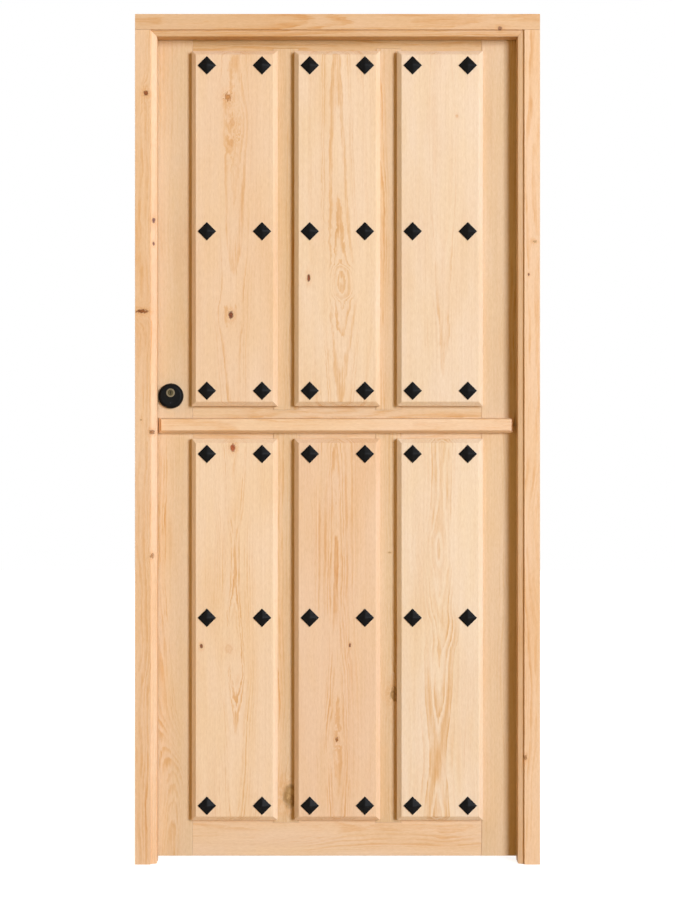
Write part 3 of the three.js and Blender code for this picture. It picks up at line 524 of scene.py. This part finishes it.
TIMBER = {
    "frame_head": Timber(
        (226, 181, 134), level=True, heart=((-500, 8, 60), (500, 14, 72)),
        ring=5.0, contrast=0.8, seed=3.1,
        knots=[Knot(401, 2065, 4, 1.2, DARK_KNOT, 0.7)],
    ),
    "frame_jamb_lock_side": Timber(
        FRAME_TONE, heart=((0, -36, 74), (2060, -24, 66)),
        wander=16, ring=5.2, contrast=0.9, seed=8.4,
        knots=[
            Knot(-473, 1904, 5.5, 1.0, ((150, 78, 34), (116, 62, 26)), 0.95, 0.8, ragged=2.0),
            Knot(-454.5, 1591.5, 3.2, 1.9, DARK_KNOT, 0.95, ragged=1.6),
            Knot(-454.5, 1533.5, 2.2, 1.9, DARK_KNOT, 0.95),
            Knot(-483, 1366, 11, 0.42, ((150, 84, 30), (108, 54, 14)), 0.95, 0.6, ragged=2.6),
            Knot(-458, 1068, 5.5, 0.9, ORANGE_KNOT, 0.9, 0.6, ragged=2.0),
            Knot(-485, 1098, 1.8, 1.0, OLIVE_KNOT, 0.7),
            Knot(-458, 762, 4, 1.2, ORANGE_KNOT, 0.7, 0.8, ragged=2.4),
        ],
    ),
    "frame_jamb_hinge_side": Timber(
        FRAME_TONE, heart=((0, 44, 62), (2060, 30, 74)),
        wander=16, ring=5.0, contrast=0.9, seed=12.7,
        knots=[
            Knot(487, 1538, 5, 0.45, OLIVE_KNOT, 0.6, 0.4, ragged=3.0),
            Knot(472, 1457, 2.0, 1.6, DARK_KNOT),
            Knot(464, 264, 3.4, 1.6, ORANGE_KNOT, 0.7, 0.4, ragged=1.8),
        ],
    ),
    "meeting_bar": Timber(
        (242, 203, 163), level=True, heart=((-444, -4, 88), (444, 2, 96)),
        wander=12, ring=5.0, contrast=0.8, seed=5.5,
    ),
    "lower_stile_lock_side": Timber(
        LOWER_TONE, heart=((0, -8, 22), (80, -6, 25), (160, -4, 30), (400, -50, 56), (1084, -54, 66)),
        wander=8, seed=21.0,
    ),
    "lower_stile_hinge_side": Timber(
        LOWER_TONE, heart=((0, 74, 58), (1084, 64, 66)),
        ring=4.8, contrast=0.9, seed=25.3,
    ),
    "upper_stile_lock_side": Timber(
        UPPER_TONE, heart=((1075, -80, 56), (2056, -70, 68)),
        contrast=0.9, seed=29.9,
    ),
    "upper_stile_hinge_side": Timber(
        UPPER_TONE, heart=((1075, 62, 50), (2056, 72, 62)),
        ring=4.8, contrast=0.9, seed=33.6,
    ),
    "lower_bottom_rail": Timber(
        (233, 195, 155), level=True, heart=((-360, 0, 46), (360, 12, 60)),
        wander=18, ring=4.8, contrast=0.9, seed=37.2,
    ),
    "lower_top_rail": Timber(
        LOWER_TONE, level=True, heart=((-360, -14, 70), (360, -8, 76)),
        ring=5.0, contrast=0.8, seed=41.5,
    ),
    "upper_bottom_rail": Timber(
        UPPER_TONE, level=True, heart=((-360, 0, 62), (360, 8, 70)),
        ring=5.0, contrast=0.8, seed=45.8,
    ),
    "upper_top_rail": Timber(
        (212, 172, 122), level=True, heart=((-360, -8, 54), (360, 4, 64)),
        ring=4.8, contrast=0.9, seed=49.1,
    ),
    "lower_muntin_1": Timber(
        (221, 186, 143), heart=((92, -44, 46), (1072, -34, 56)),
        wander=12, contrast=0.9, seed=53.7,
        knots=[Knot(-114, 157, 20, 1.25, OLIVE_KNOT, 0.75, 0.3, ragged=0.9)],
    ),
    "lower_muntin_2": Timber(
        (221, 186, 143), heart=((92, 50, 52), (1072, 44, 60)),
        wander=12, contrast=0.9, seed=57.4,
        knots=[
            Knot(144, 413, 10, 1.5, OLIVE_KNOT, 0.75, 0.6, ragged=2.4),
            Knot(131, 767, 3.5, 0.4, OLIVE_KNOT, 0.6, 0.3, ragged=3.0),
        ],
    ),
    "upper_muntin_1": Timber(
        (218, 181, 136), heart=((1123, 40, 56), (2026, 48, 64)),
        wander=12, ring=4.8, contrast=0.8, seed=61.2,
    ),
    "upper_muntin_2": Timber(
        (221, 185, 143), heart=((1123, -44, 44), (2026, -34, 54)),
        wander=12, contrast=0.9, seed=65.9,
    ),
    "upper_board_1": Timber(
        (238, 200, 161),
        heart=((1132, -4, 40), (1300, -6, 36), (1375, -7, 31), (1400, -4, 34), (1560, 0, 29),
               (1760, 2, 24), (1850, 3, 20), (1900, -2, 24), (1960, 0, 30), (2017, -2, 34)),
        wander=4, ring=5.0, fade=0.6, contrast=0.8, seed=70.2,
        knots=[
            Knot(-272, 1900, 7, 1.3, ((204, 134, 52), (168, 106, 44)), 0.8, 0.9, ragged=3.4),
            Knot(-261, 1836, 6, 1.3, PALE_KNOT, 0.35, 0.9),
            Knot(-262, 1785, 5, 1.6, PALE_KNOT, 0.30, 0.8),
            Knot(-264.6, 1359, 5.2, 1.6, DARK_KNOT, 0.95, 0.6),
        ],
    ),
    "upper_board_2": Timber(
        (239, 205, 168),
        heart=((1132, 8, 50), (1200, 8, 45), (1291, 10, 39.5), (1332, 10, 34.5), (1394, 12, 27),
               (1440, 10, 9), (1488, 8, 28), (1540, 6, 34), (1620, 4, 38), (1800, 0, 42),
               (2017, -4, 46)),
        wander=3, ring=8.5, peak=1.5, jog=5, fade=0.4, contrast=1.65, seed=74.6,
        knots=[
            Knot(-71, 1451, 3.4, 2.4, DARK_KNOT, 0.95),
            Knot(-34, 1442, 13, 1.1, PALE_KNOT, 0.0, 1.6),
        ],
    ),
    "upper_board_3": Timber(
        (238, 207, 173),
        heart=((1132, 10, 44), (1500, 8, 36), (1740, 6, 30), (2017, 2, 34)),
        wander=5, ring=5.0, contrast=0.6, seed=78.3,
        knots=[Knot(297, 1853, 3, 1.2, PALE_KNOT, 0.5, 0.4)],
    ),
    "lower_board_1": Timber(
        (242, 206, 167),
        heart=((101, 3, 46), (230, 5, 40), (330, 5, 37), (430, 6, 31), (530, -2, 25), (590, -2, 28),
               (740, 0, 34), (900, -1, 26), (1051, 0, 18)),
        wander=4, ring=5.0, peak=1.5, contrast=1.1, seed=82.8,
        knots=[
            Knot(-259.7, 1029, 5.6, 1.5, RED_KNOT, 0.95, 0.3),
            Knot(-338, 536, 3.4, 1.5, DARK_KNOT, 0.9, 0.3),
            Knot(-270, 530, 9, 1.2, PALE_KNOT, 0.25, 0.9),
        ],
    ),
    "lower_board_2": Timber(
        (236, 195, 155),
        heart=((101, 0, 30), (240, 2, 27), (304, -2, 26), (380, 0, 28), (470, 1, 31), (560, 0, 35),
               (760, -3, 37), (1051, 0, 41)),
        wander=5, ring=4.8, peak=1.6, jog=3, contrast=1.3, seed=86.1,
        knots=[
            Knot(-1.5, 304, 3, 1.6, ORANGE_KNOT, 0.9, 2.0, ragged=2.6),
            Knot(31, 538, 2.2, 2.2, DARK_KNOT, 0.9),
        ],
    ),
    "lower_board_3": Timber(
        (241, 211, 177),
        heart=((101, -8, 38), (180, -7, 43), (258, -6, 47), (340, -5, 43), (400, -4, 38),
               (520, -2, 34), (575, 6, 30), (640, -3, 25), (720, -2, 18), (780, -4, 11), (830, -1, 17),
               (920, 2, 22), (1051, 4, 19)),
        wander=3, ring=11, peak=1.5, fade=0.7, contrast=1.3, seed=90.9,
    ),
}


def core_timber(leaf, bay):
    """The flat panel behind a board, with a figure of its own."""
    base, top = (0, 1084) if leaf == "lower" else (1075, 2057)
    heart = ((base, 9 * bay - 20, 34), (top, 6 * bay - 10, 46))
    seed = (100 if leaf == "lower" else 104.9) + 9.7 * bay
    return Timber(CORE_TONE, heart, wander=16, seed=seed)


TIMBER |= {f"{leaf}_core_panel_{bay}": core_timber(leaf, bay) for leaf, bay in BAYS}


def wood_of(node):
    return pine(node, TIMBER[node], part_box(node))


# ------------------------------------------------------------------ building pieces

EASED_EDGE = 0.25 * MM
EASED_BOARD_EDGE = 0.8 * MM
WELD_DISTANCE = 0.005 * MM
FLAT_ANGLE = 0.5  # degrees within which faces of a CAD node make one plane
EDGE_ANGLE = 28  # degrees at an edge of a CAD node from which it is eased
SHARP_ANGLE = 34  # degrees at an edge of a turned piece from which it stays crisp
IMPORTED_SHADING = ("custom_normal", "sharp_face", "sharp_edge")


def middle_of(node):
    return [(low + high) / 2 for low, high in zip(*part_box(node))]


def join_body(piece, node, replaces=False):
    """Gives a piece the body of a CAD node, and can put it in the node's place."""
    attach(piece, BODY_OF[node])
    if replaces:
        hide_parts(node)


def new_piece(name, shape, material):
    """A piece from a bmesh, in the frame's own coordinates."""
    bmesh.ops.recalc_face_normals(shape, faces=shape.faces)
    mesh = bpy.data.meshes.new(name)
    shape.to_mesh(mesh)
    shape.free()
    mesh.polygons.foreach_set("use_smooth", [True] * len(mesh.polygons))
    mesh.materials.append(material)
    piece = bpy.data.objects.new(name, mesh)
    bpy.context.scene.collection.objects.link(piece)
    return piece


def weigh_normals(piece):
    """Keeps broad faces flat beside their rounded edges."""
    piece.modifiers.new("normals", "WEIGHTED_NORMAL").keep_sharp = True


def turned_piece(name, node, shape, material, replaces=False):
    piece = new_piece(name, shape, material)
    piece.data.set_sharp_from_angle(angle=math.radians(SHARP_ANGLE))
    weigh_normals(piece)
    join_body(piece, node, replaces)


def finish_node(node, material):
    """Gives a CAD node its material, and eases its sharp edges with a fine bevel."""
    obj = NODES[node]
    mesh = obj.data
    mesh.materials.clear()
    mesh.materials.append(material)
    for name in IMPORTED_SHADING:
        if name in mesh.attributes:
            mesh.attributes.remove(mesh.attributes[name])
    mesh.polygons.foreach_set("use_smooth", [True] * len(mesh.polygons))
    obj.modifiers.new("weld", "WELD").merge_threshold = WELD_DISTANCE
    planar = obj.modifiers.new("planar", "DECIMATE")
    planar.decimate_type = "DISSOLVE"
    planar.angle_limit = math.radians(FLAT_ANGLE)
    bevel = obj.modifiers.new("eased", "BEVEL")
    bevel.width = EASED_EDGE
    bevel.segments = 2
    bevel.limit_method = "ANGLE"
    bevel.angle_limit = math.radians(EDGE_ANGLE)
    weigh_normals(obj)


def bezier(pulls, steps):
    """Places along the curve that a few points pull, from the first to the last."""
    places = []
    for i in range(steps + 1):
        row = pulls
        while len(row) > 1:
            row = [[a + (b - a) * i / steps for a, b in zip(p, q)] for p, q in zip(row, row[1:])]
        places.append(row[0])
    return places


def skin(shape, rings, closed=True):
    """Faces between stacked rings of points, each ring turning right-handed about the way they stack."""
    if closed:
        shape.faces.new(rings[0][::-1])
        shape.faces.new(rings[-1])
    for low, high in zip(rings, rings[1:]):
        for i in range(len(low)):
            shape.faces.new((low[i - 1], low[i], high[i], high[i - 1]))


def frustum(shape, levels):
    """Stacks rectangles towards -Y, each given as (y, (x0, x1), (z0, z1))."""
    rings = []
    for y, (x0, x1), (z0, z1) in levels:
        corners = ((x0, z0), (x1, z0), (x1, z1), (x0, z1))
        rings.append([shape.verts.new((x, y, z)) for x, z in corners])
    skin(shape, rings)


def loops(shape, origin, normal, levels, sides=64, closed=True):
    """Stacks loops along a level normal. Each is (radius, height), or (radius, height, lift) to raise
    its middle, and a radius can be a function of the angle."""
    out, up = Vector(normal), Vector((0, 0, 1))
    across = up.cross(out)
    rings = []
    for radius, height, *lift in levels:
        middle = Vector(origin) + out * height + up * sum(lift)
        ring = []
        for i in range(sides):
            angle = 2 * math.pi * (i + 0.5) / sides
            reach = radius(angle) if callable(radius) else radius
            away = across * math.cos(angle) + up * math.sin(angle)
            ring.append(shape.verts.new(middle + away * reach))
        rings.append(ring)
    skin(shape, rings, closed)


def tube(shape, x, path, radius, sides=24):
    """A round bar along a path of places (y, z)."""
    rings = []
    for i, (y, z) in enumerate(path):
        before, after = path[max(i - 1, 0)], path[min(i + 1, len(path) - 1)]
        run = Vector((0, after[0] - before[0], after[1] - before[1])).normalized()
        side = Vector((0, run.z, -run.y))
        ring = []
        for j in range(sides):
            angle = 2 * math.pi * j / sides
            away = Vector((1, 0, 0)) * math.cos(angle) + side * math.sin(angle)
            ring.append(shape.verts.new(Vector((x, y, z)) + away * radius))
        rings.append(ring)
    skin(shape, rings)


def slot_radius(half_width, half_length, turn=0.0):
    """The outline of a straight slot, as a radius at each angle."""
    def radius(angle):
        c, s = abs(math.cos(angle - turn)), abs(math.sin(angle - turn))
        return min(half_width / max(c, 1e-6), half_length / max(s, 1e-6))
    return radius


def hexagon_radius(inner):
    """The outline of a hexagon socket, as a radius at each angle."""
    def radius(angle):
        return inner / math.cos(angle % (math.pi / 3) - math.pi / 6)
    return radius


# ------------------------------------------------------------------ boards and nails

NAIL_CELLS = 14  # across the grid of a head
NAIL_SQUARENESS = 9  # the power that draws its outline: 2 would be round
NAIL_BLUNTNESS = 0.04  # how far its tip is rounded, as a share of its rise
NAIL_DENTS = 0.035  # how deep the hammer marks are, as a share of its rise
NAIL_SHARP_ANGLE = 50


def board_limits(node):
    """The sides of a board, its ends, and its back."""
    low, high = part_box(node)
    return (low[0], high[0]), (low[2], high[2]), high[1]


def nail_places(leaf, xs, zs):
    columns = (xs[0] + NAIL_FROM_SIDE, xs[1] - NAIL_FROM_SIDE)
    levels = (zs[0] + NAIL_FROM_END, sum(zs) / 2 + NAIL_MIDDLE[leaf], zs[1] - NAIL_FROM_END)
    return [(x, z) for z in levels for x in columns]


def raised_board(node):
    xs, zs, back = board_limits(node)
    shoulder = back - BOARD_SHOULDER
    field_xs, field_zs = ((low + BOARD_BEVEL, high - BOARD_BEVEL) for low, high in (xs, zs))
    shape = bmesh.new()
    frustum(shape, [(back, xs, zs), (shoulder, xs, zs), (shoulder - BOARD_RISE, field_xs, field_zs)])
    bmesh.ops.bevel(
        shape, geom=shape.edges[:], offset=EASED_BOARD_EDGE, segments=3, profile=0.5, affect="EDGES"
    )
    piece = new_piece(node + "_wood", shape, wood_of(node))
    weigh_normals(piece)
    return piece


def head_height(u, v, seed):
    """How far a nail head stands out at u and v, which run from -1 to 1 between its sides."""
    away = (abs(u) ** NAIL_SQUARENESS + abs(v) ** NAIL_SQUARENESS) ** (1 / NAIL_SQUARENESS)
    inwards = 1 - min(1.0, away)
    rise = math.sqrt(inwards**2 + NAIL_BLUNTNESS**2) - NAIL_BLUNTNESS * (1 - inwards)
    dents = noise.noise(Vector((u * 1.6 + seed, v * 1.6, seed))) * NAIL_DENTS
    dents *= min(1.0, 5 * (1 - away) + 0.2)  # they fade towards its sides
    share = min(0.998, max(0.0, rise * 0.985 + dents))  # and never reach past the CAD's own tip
    return NAIL_RIM + NAIL_RISE * share


def forged_head(shape, x, y, z, seed):
    """One nail head: a square pyramid on its corner, a little domed and uneven, over a thin rim."""
    half = NAIL_SIDE * math.sqrt(0.5) / 2
    steps = [2 * i / NAIL_CELLS - 1 for i in range(NAIL_CELLS + 1)]
    grid = []
    for u in steps:
        row = [(x + (u - v) * half, y - head_height(u, v, seed), z + (u + v) * half) for v in steps]
        grid.append([shape.verts.new(spot) for spot in row])
    for near, far in zip(grid, grid[1:]):
        for j in range(NAIL_CELLS):
            shape.faces.new((near[j], far[j], far[j + 1], near[j + 1]))
    border = [row[0] for row in grid[:-1]] + grid[-1][:-1]
    border += [row[-1] for row in grid[:0:-1]] + grid[0][:0:-1]
    foot = [shape.verts.new((vert.co.x, y, vert.co.z)) for vert in border]
    skin(shape, [border, foot], closed=False)
    shape.faces.new(foot)


def board_nails(node, leaf):
    xs, zs, back = board_limits(node)
    face = back - BOARD_SHOULDER - BOARD_RISE
    shape = bmesh.new()
    for number, (x, z) in enumerate(nail_places(leaf, xs, zs)):
        forged_head(shape, x, face, z, seed=3.7 * number + 113 * xs[0])
    piece = new_piece(node + "_nails", shape, IRON)
    piece.data.set_sharp_from_angle(angle=math.radians(NAIL_SHARP_ANGLE))
    return piece


# ------------------------------------------------------------------ dressing

for node in NODES:
    if node in TIMBER and "_board_" not in node:
        finish_node(node, wood_of(node))

for leaf, bay in BAYS:
    node = f"{leaf}_board_{bay}"
    join_body(raised_board(node), node, replaces=True)
    join_body(board_nails(node, leaf), node, replaces=True)

SLOT_MATERIALS = {"black_iron": IRON, "steel": STEEL, "brass": BRASS, "rubber": RUBBER}
for node, slot in SLOT_OF.items():
    if slot in SLOT_MATERIALS:
        finish_node(node, SLOT_MATERIALS[slot])

# ------------------------------------------------------------------ lock and handle

OUTSIDE = (0, -1, 0)
INSIDE = (0, 1, 0)


def escutcheon_rose():
    """The security escutcheon outside: a heavy rim that sweeps up to a sunk face, bored for the disc."""
    node = "escutcheon_outer"
    low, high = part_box(node)
    x, _, z = middle_of(node)
    back, rim, rise = high[1], (high[0] - low[0]) / 2, high[1] - low[1]
    face, bore_floor = rise - 0.45 * MM, rise - 3.3 * MM
    key_lift = middle_of("keyhole_disc")[2] - z
    sweep = bezier([(rim, rise - 10.5 * MM), (rim - 1 * MM, rise - 1 * MM), (24.2 * MM, rise)], 10)
    bore = ((11.5, face), (10.9, face - 0.3 * MM), (10.7, bore_floor), (5, bore_floor))
    shape = bmesh.new()
    loops(shape, (x, back, z), OUTSIDE, [
        (rim - 0.5 * MM, 0), (rim, 0.4 * MM), *sweep,
        (23.4 * MM, rise), (22.8 * MM, face), (22.2 * MM, face),
        *((radius * MM, height, key_lift) for radius, height in bore),
    ], sides=96)
    turned_piece("escutcheon_rose", node, shape, IRON, replaces=True)
    grub_screw(node, (x, back - face, z - 17 * MM))


def grub_screw(node, spot):
    """The set screw under the disc, with its hexagon socket."""
    shape = bmesh.new()
    rim = in_mm((1.7, -0.1), (1.7, 0.15), (1.45, 0.3))
    socket = [(hexagon_radius(0.75 * MM), 0.3 * MM), (hexagon_radius(0.7 * MM), -0.1 * MM)]
    loops(shape, spot, OUTSIDE, rim + socket, sides=24)
    turned_piece("escutcheon_grub_screw", node, shape, SCREW_IRON)


def keyhole_ring():
    """The disc over the cylinder: a ring round a sunk middle with the keyway, whose brass is darkened as
    painted shade.
    """
    node = "keyhole_disc"
    x, _, z = middle_of(node)
    place = (x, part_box(node)[1][1], z)
    ring = bmesh.new()
    loops(ring, place, OUTSIDE, in_mm(
        (7.2, 0), (10.5, 0), (10.5, 2.6), (10.1, 2.98), (8.1, 2.98), (7.5, 2.3), (7.2, 2.0), (7.2, 0),
    ), closed=False)
    turned_piece("keyhole_ring", node, ring, BRASS, replaces=True)
    # the sunk middle takes the darker brass: painted shade in its recess
    face = bmesh.new()
    keyway = slot_radius(1.2 * MM, 4.5 * MM)
    middle = in_mm((7.15, 0), (7.15, 1.9), (6.2, 2.1), (5.9, 1.7), (5.2, 1.7))
    loops(face, place, OUTSIDE, [(keyway, 0), *middle, (keyway, 1.7 * MM), (keyway, 0)], closed=False)
    turned_piece("keyhole_face", node, face, KEY_FACE_SHADED, replaces=True)


def pull_bow():
    """The pull handle inside: a round bow that springs from two roses."""
    node = "pull_handle"
    low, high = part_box(node)
    x, _, z = middle_of(node)
    door, rose_radius = low[1], (high[0] - low[0]) / 2
    half = (high[2] - low[2]) / 2 - rose_radius
    out, radius, bend = high[1] - 7 * MM, 6.98 * MM, 50 * MM
    ends = (z - half, z + half)
    path = bezier([
        (door + 1 * MM, -half), (out - 4 * MM, -half), (out, -half + bend / 3), (out, -half + bend),
    ], 16)
    path += [(y, -along) for y, along in reversed(path)]
    shape = bmesh.new()
    tube(shape, x, [(y, z + along) for y, along in path], radius)
    rose = in_mm(
        (16.6, 0), (17, 0.4), (17, 2.0), (16.3, 2.7), (14.6, 3.2), (13.2, 4.6), (12.4, 5), (6, 5),
    )
    for end in ends:
        loops(shape, (x, door, end), INSIDE, rose)
    turned_piece("pull_bow", node, shape, IRON, replaces=True)
    spots = [(x + side * 10.2 * MM, door + rose[-1][1], end) for end in ends for side in (-1, 1)]
    screws(node, INSIDE, spots, 2.1 * MM)


# ------------------------------------------------------------------ screws

SCREW_HEIGHT = 0.35 * MM
FLUSH_HEIGHT = 0.25 * MM  # in the gap between a leaf and its jamb
HINGE_GAP = 3 * MM
# Each screw of a hinge half: how far from its outer edge, and how far above the middle of the pin.
HINGE_SCREWS = in_mm((7.15, 33), (19.15, 11), (19.15, -11), (7.15, -33))
PLATE_SCREW_FROM_END = 10 * MM
BOLT_PLATE = 2 * MM
BOLT_SCREW_ALONG = 24 * MM
BOLT_SCREW_ASIDE = 13.6 * MM


def screws(node, normal, spots, radius, height=SCREW_HEIGHT, material=SCREW_IRON):
    """Slotted heads that stand a little above a fitting, each turned its own way."""
    shape = bmesh.new()
    for number, spot in enumerate(spots):
        slot = slot_radius(0.14 * radius, 0.78 * radius, turn=0.5 + 1.9 * number)
        loops(shape, spot, normal, [
            (radius, -0.2 * MM), (radius, height * 0.4), (radius * 0.9, height * 0.85),
            (radius * 0.8, height), (slot, height), (slot, -0.15 * MM),
        ], sides=32)
    turned_piece(node + "_screws", node, shape, material)


def hinge_screws():
    for hinge in ("lower_bottom", "lower_top", "upper_bottom", "upper_top"):
        pin_x, _, pin_z = middle_of(f"hinge_{hinge}_pin")
        for half, side in (("leaf_half", 1), ("frame_half", -1)):
            node = f"hinge_{hinge}_{half}"
            x, edge = pin_x - side * HINGE_GAP / 2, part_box(node)[0][1]
            spots = [(x, edge + inset, pin_z + rise) for inset, rise in HINGE_SCREWS]
            screws(node, (side, 0, 0), spots, 3.4 * MM, FLUSH_HEIGHT)


def lock_plate_screws():
    for node, side in (("lock_forend", -1), ("strike_plate", 1)):
        low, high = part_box(node)
        x, y = (low if side < 0 else high)[0], middle_of(node)[1]
        spots = [(x, y, z) for z in (low[2] + PLATE_SCREW_FROM_END, high[2] - PLATE_SCREW_FROM_END)]
        screws(node, (side, 0, 0), spots, 3.2 * MM, FLUSH_HEIGHT, STEEL)


def rose_screws():
    node = "escutcheon_inner"
    x, _, z = middle_of(node)
    spots = [(x + aside * MM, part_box(node)[1][1], z) for aside in (-19.5, 19.5)]
    screws(node, INSIDE, spots, 2.6 * MM)


def bolt_screws():
    """Two beside each end of a base, and two beside the middle of a keep."""
    for bolt, upright in (("lower_bolt", False), ("joining_bolt", True)):
        for half, ends in (("base", (-1, 1)), ("keep", (0,))):
            node = f"{bolt}_{half}"
            x, _, z = middle_of(node)
            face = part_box(node)[0][1] + BOLT_PLATE
            spots = []
            for end in ends:
                for side in (-1, 1):
                    along, aside = end * BOLT_SCREW_ALONG, side * BOLT_SCREW_ASIDE
                    across, up = (aside, along) if upright else (along, aside)
                    spots.append((x + across, face, z + up))
            screws(node, INSIDE, spots, 2.7 * MM)


escutcheon_rose()
keyhole_ring()
pull_bow()
hinge_screws()
lock_plate_screws()
rose_screws()
bolt_screws()

# ------------------------------------------------------------------ floor, light and camera

WHITE = (1.0, 1.0, 1.0, 1.0)
ROOM_COLOUR = (1.0, 0.60, 0.08, 1.0)  # light that the room sends back
WARM_BOUNCE = (0.5, 0.35, 0.08, 1.0)  # what the floor throws back on the door
FLOOR_GREY = (0.5, 0.5, 0.5, 1.0)  # the floor itself, under its glow
FLOOR_GLOW = 0.86
FLOOR_REACH = 9
LAMP_DISTANCE = 14.0

EYE_HEIGHT = 1.0506
EYE_DISTANCE = 4.08  # to the front of the frame
VIEW_HEIGHT = 2.2217  # what the picture takes in at that distance
HORIZON_SHIFT = -0.0122
EYE_OFFSET = -0.06  # from the middle of the door
SENSOR_HEIGHT = 36  # in millimetres


def seen_directly(tree):
    """1 to the camera and in reflections, and 0 to all other rays."""
    rays = add_node(tree, "LightPath")
    seen = Value(tree, rays.outputs["Is Camera Ray"])
    for name in ("Is Glossy Ray", "Is Transmission Ray"):
        seen = seen.math("MAXIMUM", Value(tree, rays.outputs[name]))
    return seen


def studio_world(ambient):
    """A room that looks white and lights the door with a dim, warm light."""
    world = bpy.data.worlds.new("studio")
    bpy.context.scene.world = world
    world.use_nodes = True
    tree = world.node_tree
    background = tree.nodes["Background"]
    seen = seen_directly(tree)
    feed(background.inputs["Color"], mixed(seen, ROOM_COLOUR, WHITE))
    feed(background.inputs["Strength"], ambient + seen * (1.0 - ambient))


def studio_floor():
    """A plain pale floor that keeps the door's shadow."""
    mesh = bpy.data.meshes.new("floor")
    shape = bmesh.new()
    bmesh.ops.create_grid(shape, x_segments=1, y_segments=1, size=FLOOR_REACH)
    shape.to_mesh(mesh)
    shape.free()
    floor = bpy.data.objects.new("floor", mesh)
    bpy.context.scene.collection.objects.link(floor)
    made, tree, surface = new_material("floor", 0.9, specular=0.0)
    seen = seen_directly(tree)
    feed(surface.inputs["Base Color"], mixed(seen, WARM_BOUNCE, FLOOR_GREY))
    surface.inputs["Emission Color"].default_value = WHITE
    feed(surface.inputs["Emission Strength"], seen * FLOOR_GLOW)
    mesh.materials.append(made)


def softbox(name, azimuth, elevation, size, level, colour=WHITE[:3]):
    """A lamp that faces the middle of the door, and renders a white face turned to it at its level.
    The azimuth runs from the camera's side to +X."""
    low, high = CAD_BOX
    target = Vector((0, low[1], (low[2] + high[2]) / 2))
    az, el = math.radians(azimuth), math.radians(elevation)
    away = Vector((math.sin(az) * math.cos(el), -math.cos(az) * math.cos(el), math.sin(el)))
    data = bpy.data.lights.new(name, "AREA")
    data.shape = "RECTANGLE"
    data.size, data.size_y = size
    data.color = colour
    data.energy = level * (math.pi * LAMP_DISTANCE) ** 2
    lamp = bpy.data.objects.new(name, data)
    lamp.location = target + away * LAMP_DISTANCE
    lamp.rotation_euler = (-away).to_track_quat("-Z", "Y").to_euler()
    bpy.context.scene.collection.objects.link(lamp)


def photo_camera():
    data = bpy.data.cameras.new("camera")
    data.sensor_fit = "VERTICAL"
    data.sensor_height = SENSOR_HEIGHT
    data.lens = SENSOR_HEIGHT * EYE_DISTANCE / VIEW_HEIGHT
    data.shift_x = -EYE_OFFSET / VIEW_HEIGHT
    data.shift_y = HORIZON_SHIFT
    camera = bpy.data.objects.new("camera", data)
    camera.location = (EYE_OFFSET, CAD_BOX[0][1] - EYE_DISTANCE, EYE_HEIGHT)
    camera.rotation_euler = (math.radians(90), 0, 0)
    bpy.context.scene.collection.objects.link(camera)
    bpy.context.scene.camera = camera


studio_world(ambient=0.185)
studio_floor()
softbox("key", 33, 11, size=(4.4, 7.2), level=0.95, colour=(0.965, 1.045, 1.20))
softbox("side", 74, 4, size=(6.0, 8.0), level=0.07, colour=(0.85, 0.97, 1.2))
softbox("fill", -12, 6, size=(6.5, 6.5), level=0.07, colour=(1.0, 0.74, 0.25))
softbox("back", 205, 11, size=(7.6, 7.2), level=0.85)
softbox("back_fill", 140, 8, size=(6.0, 6.0), level=0.14)
photo_camera()
bpy.context.scene.view_settings.view_transform = "Standard"
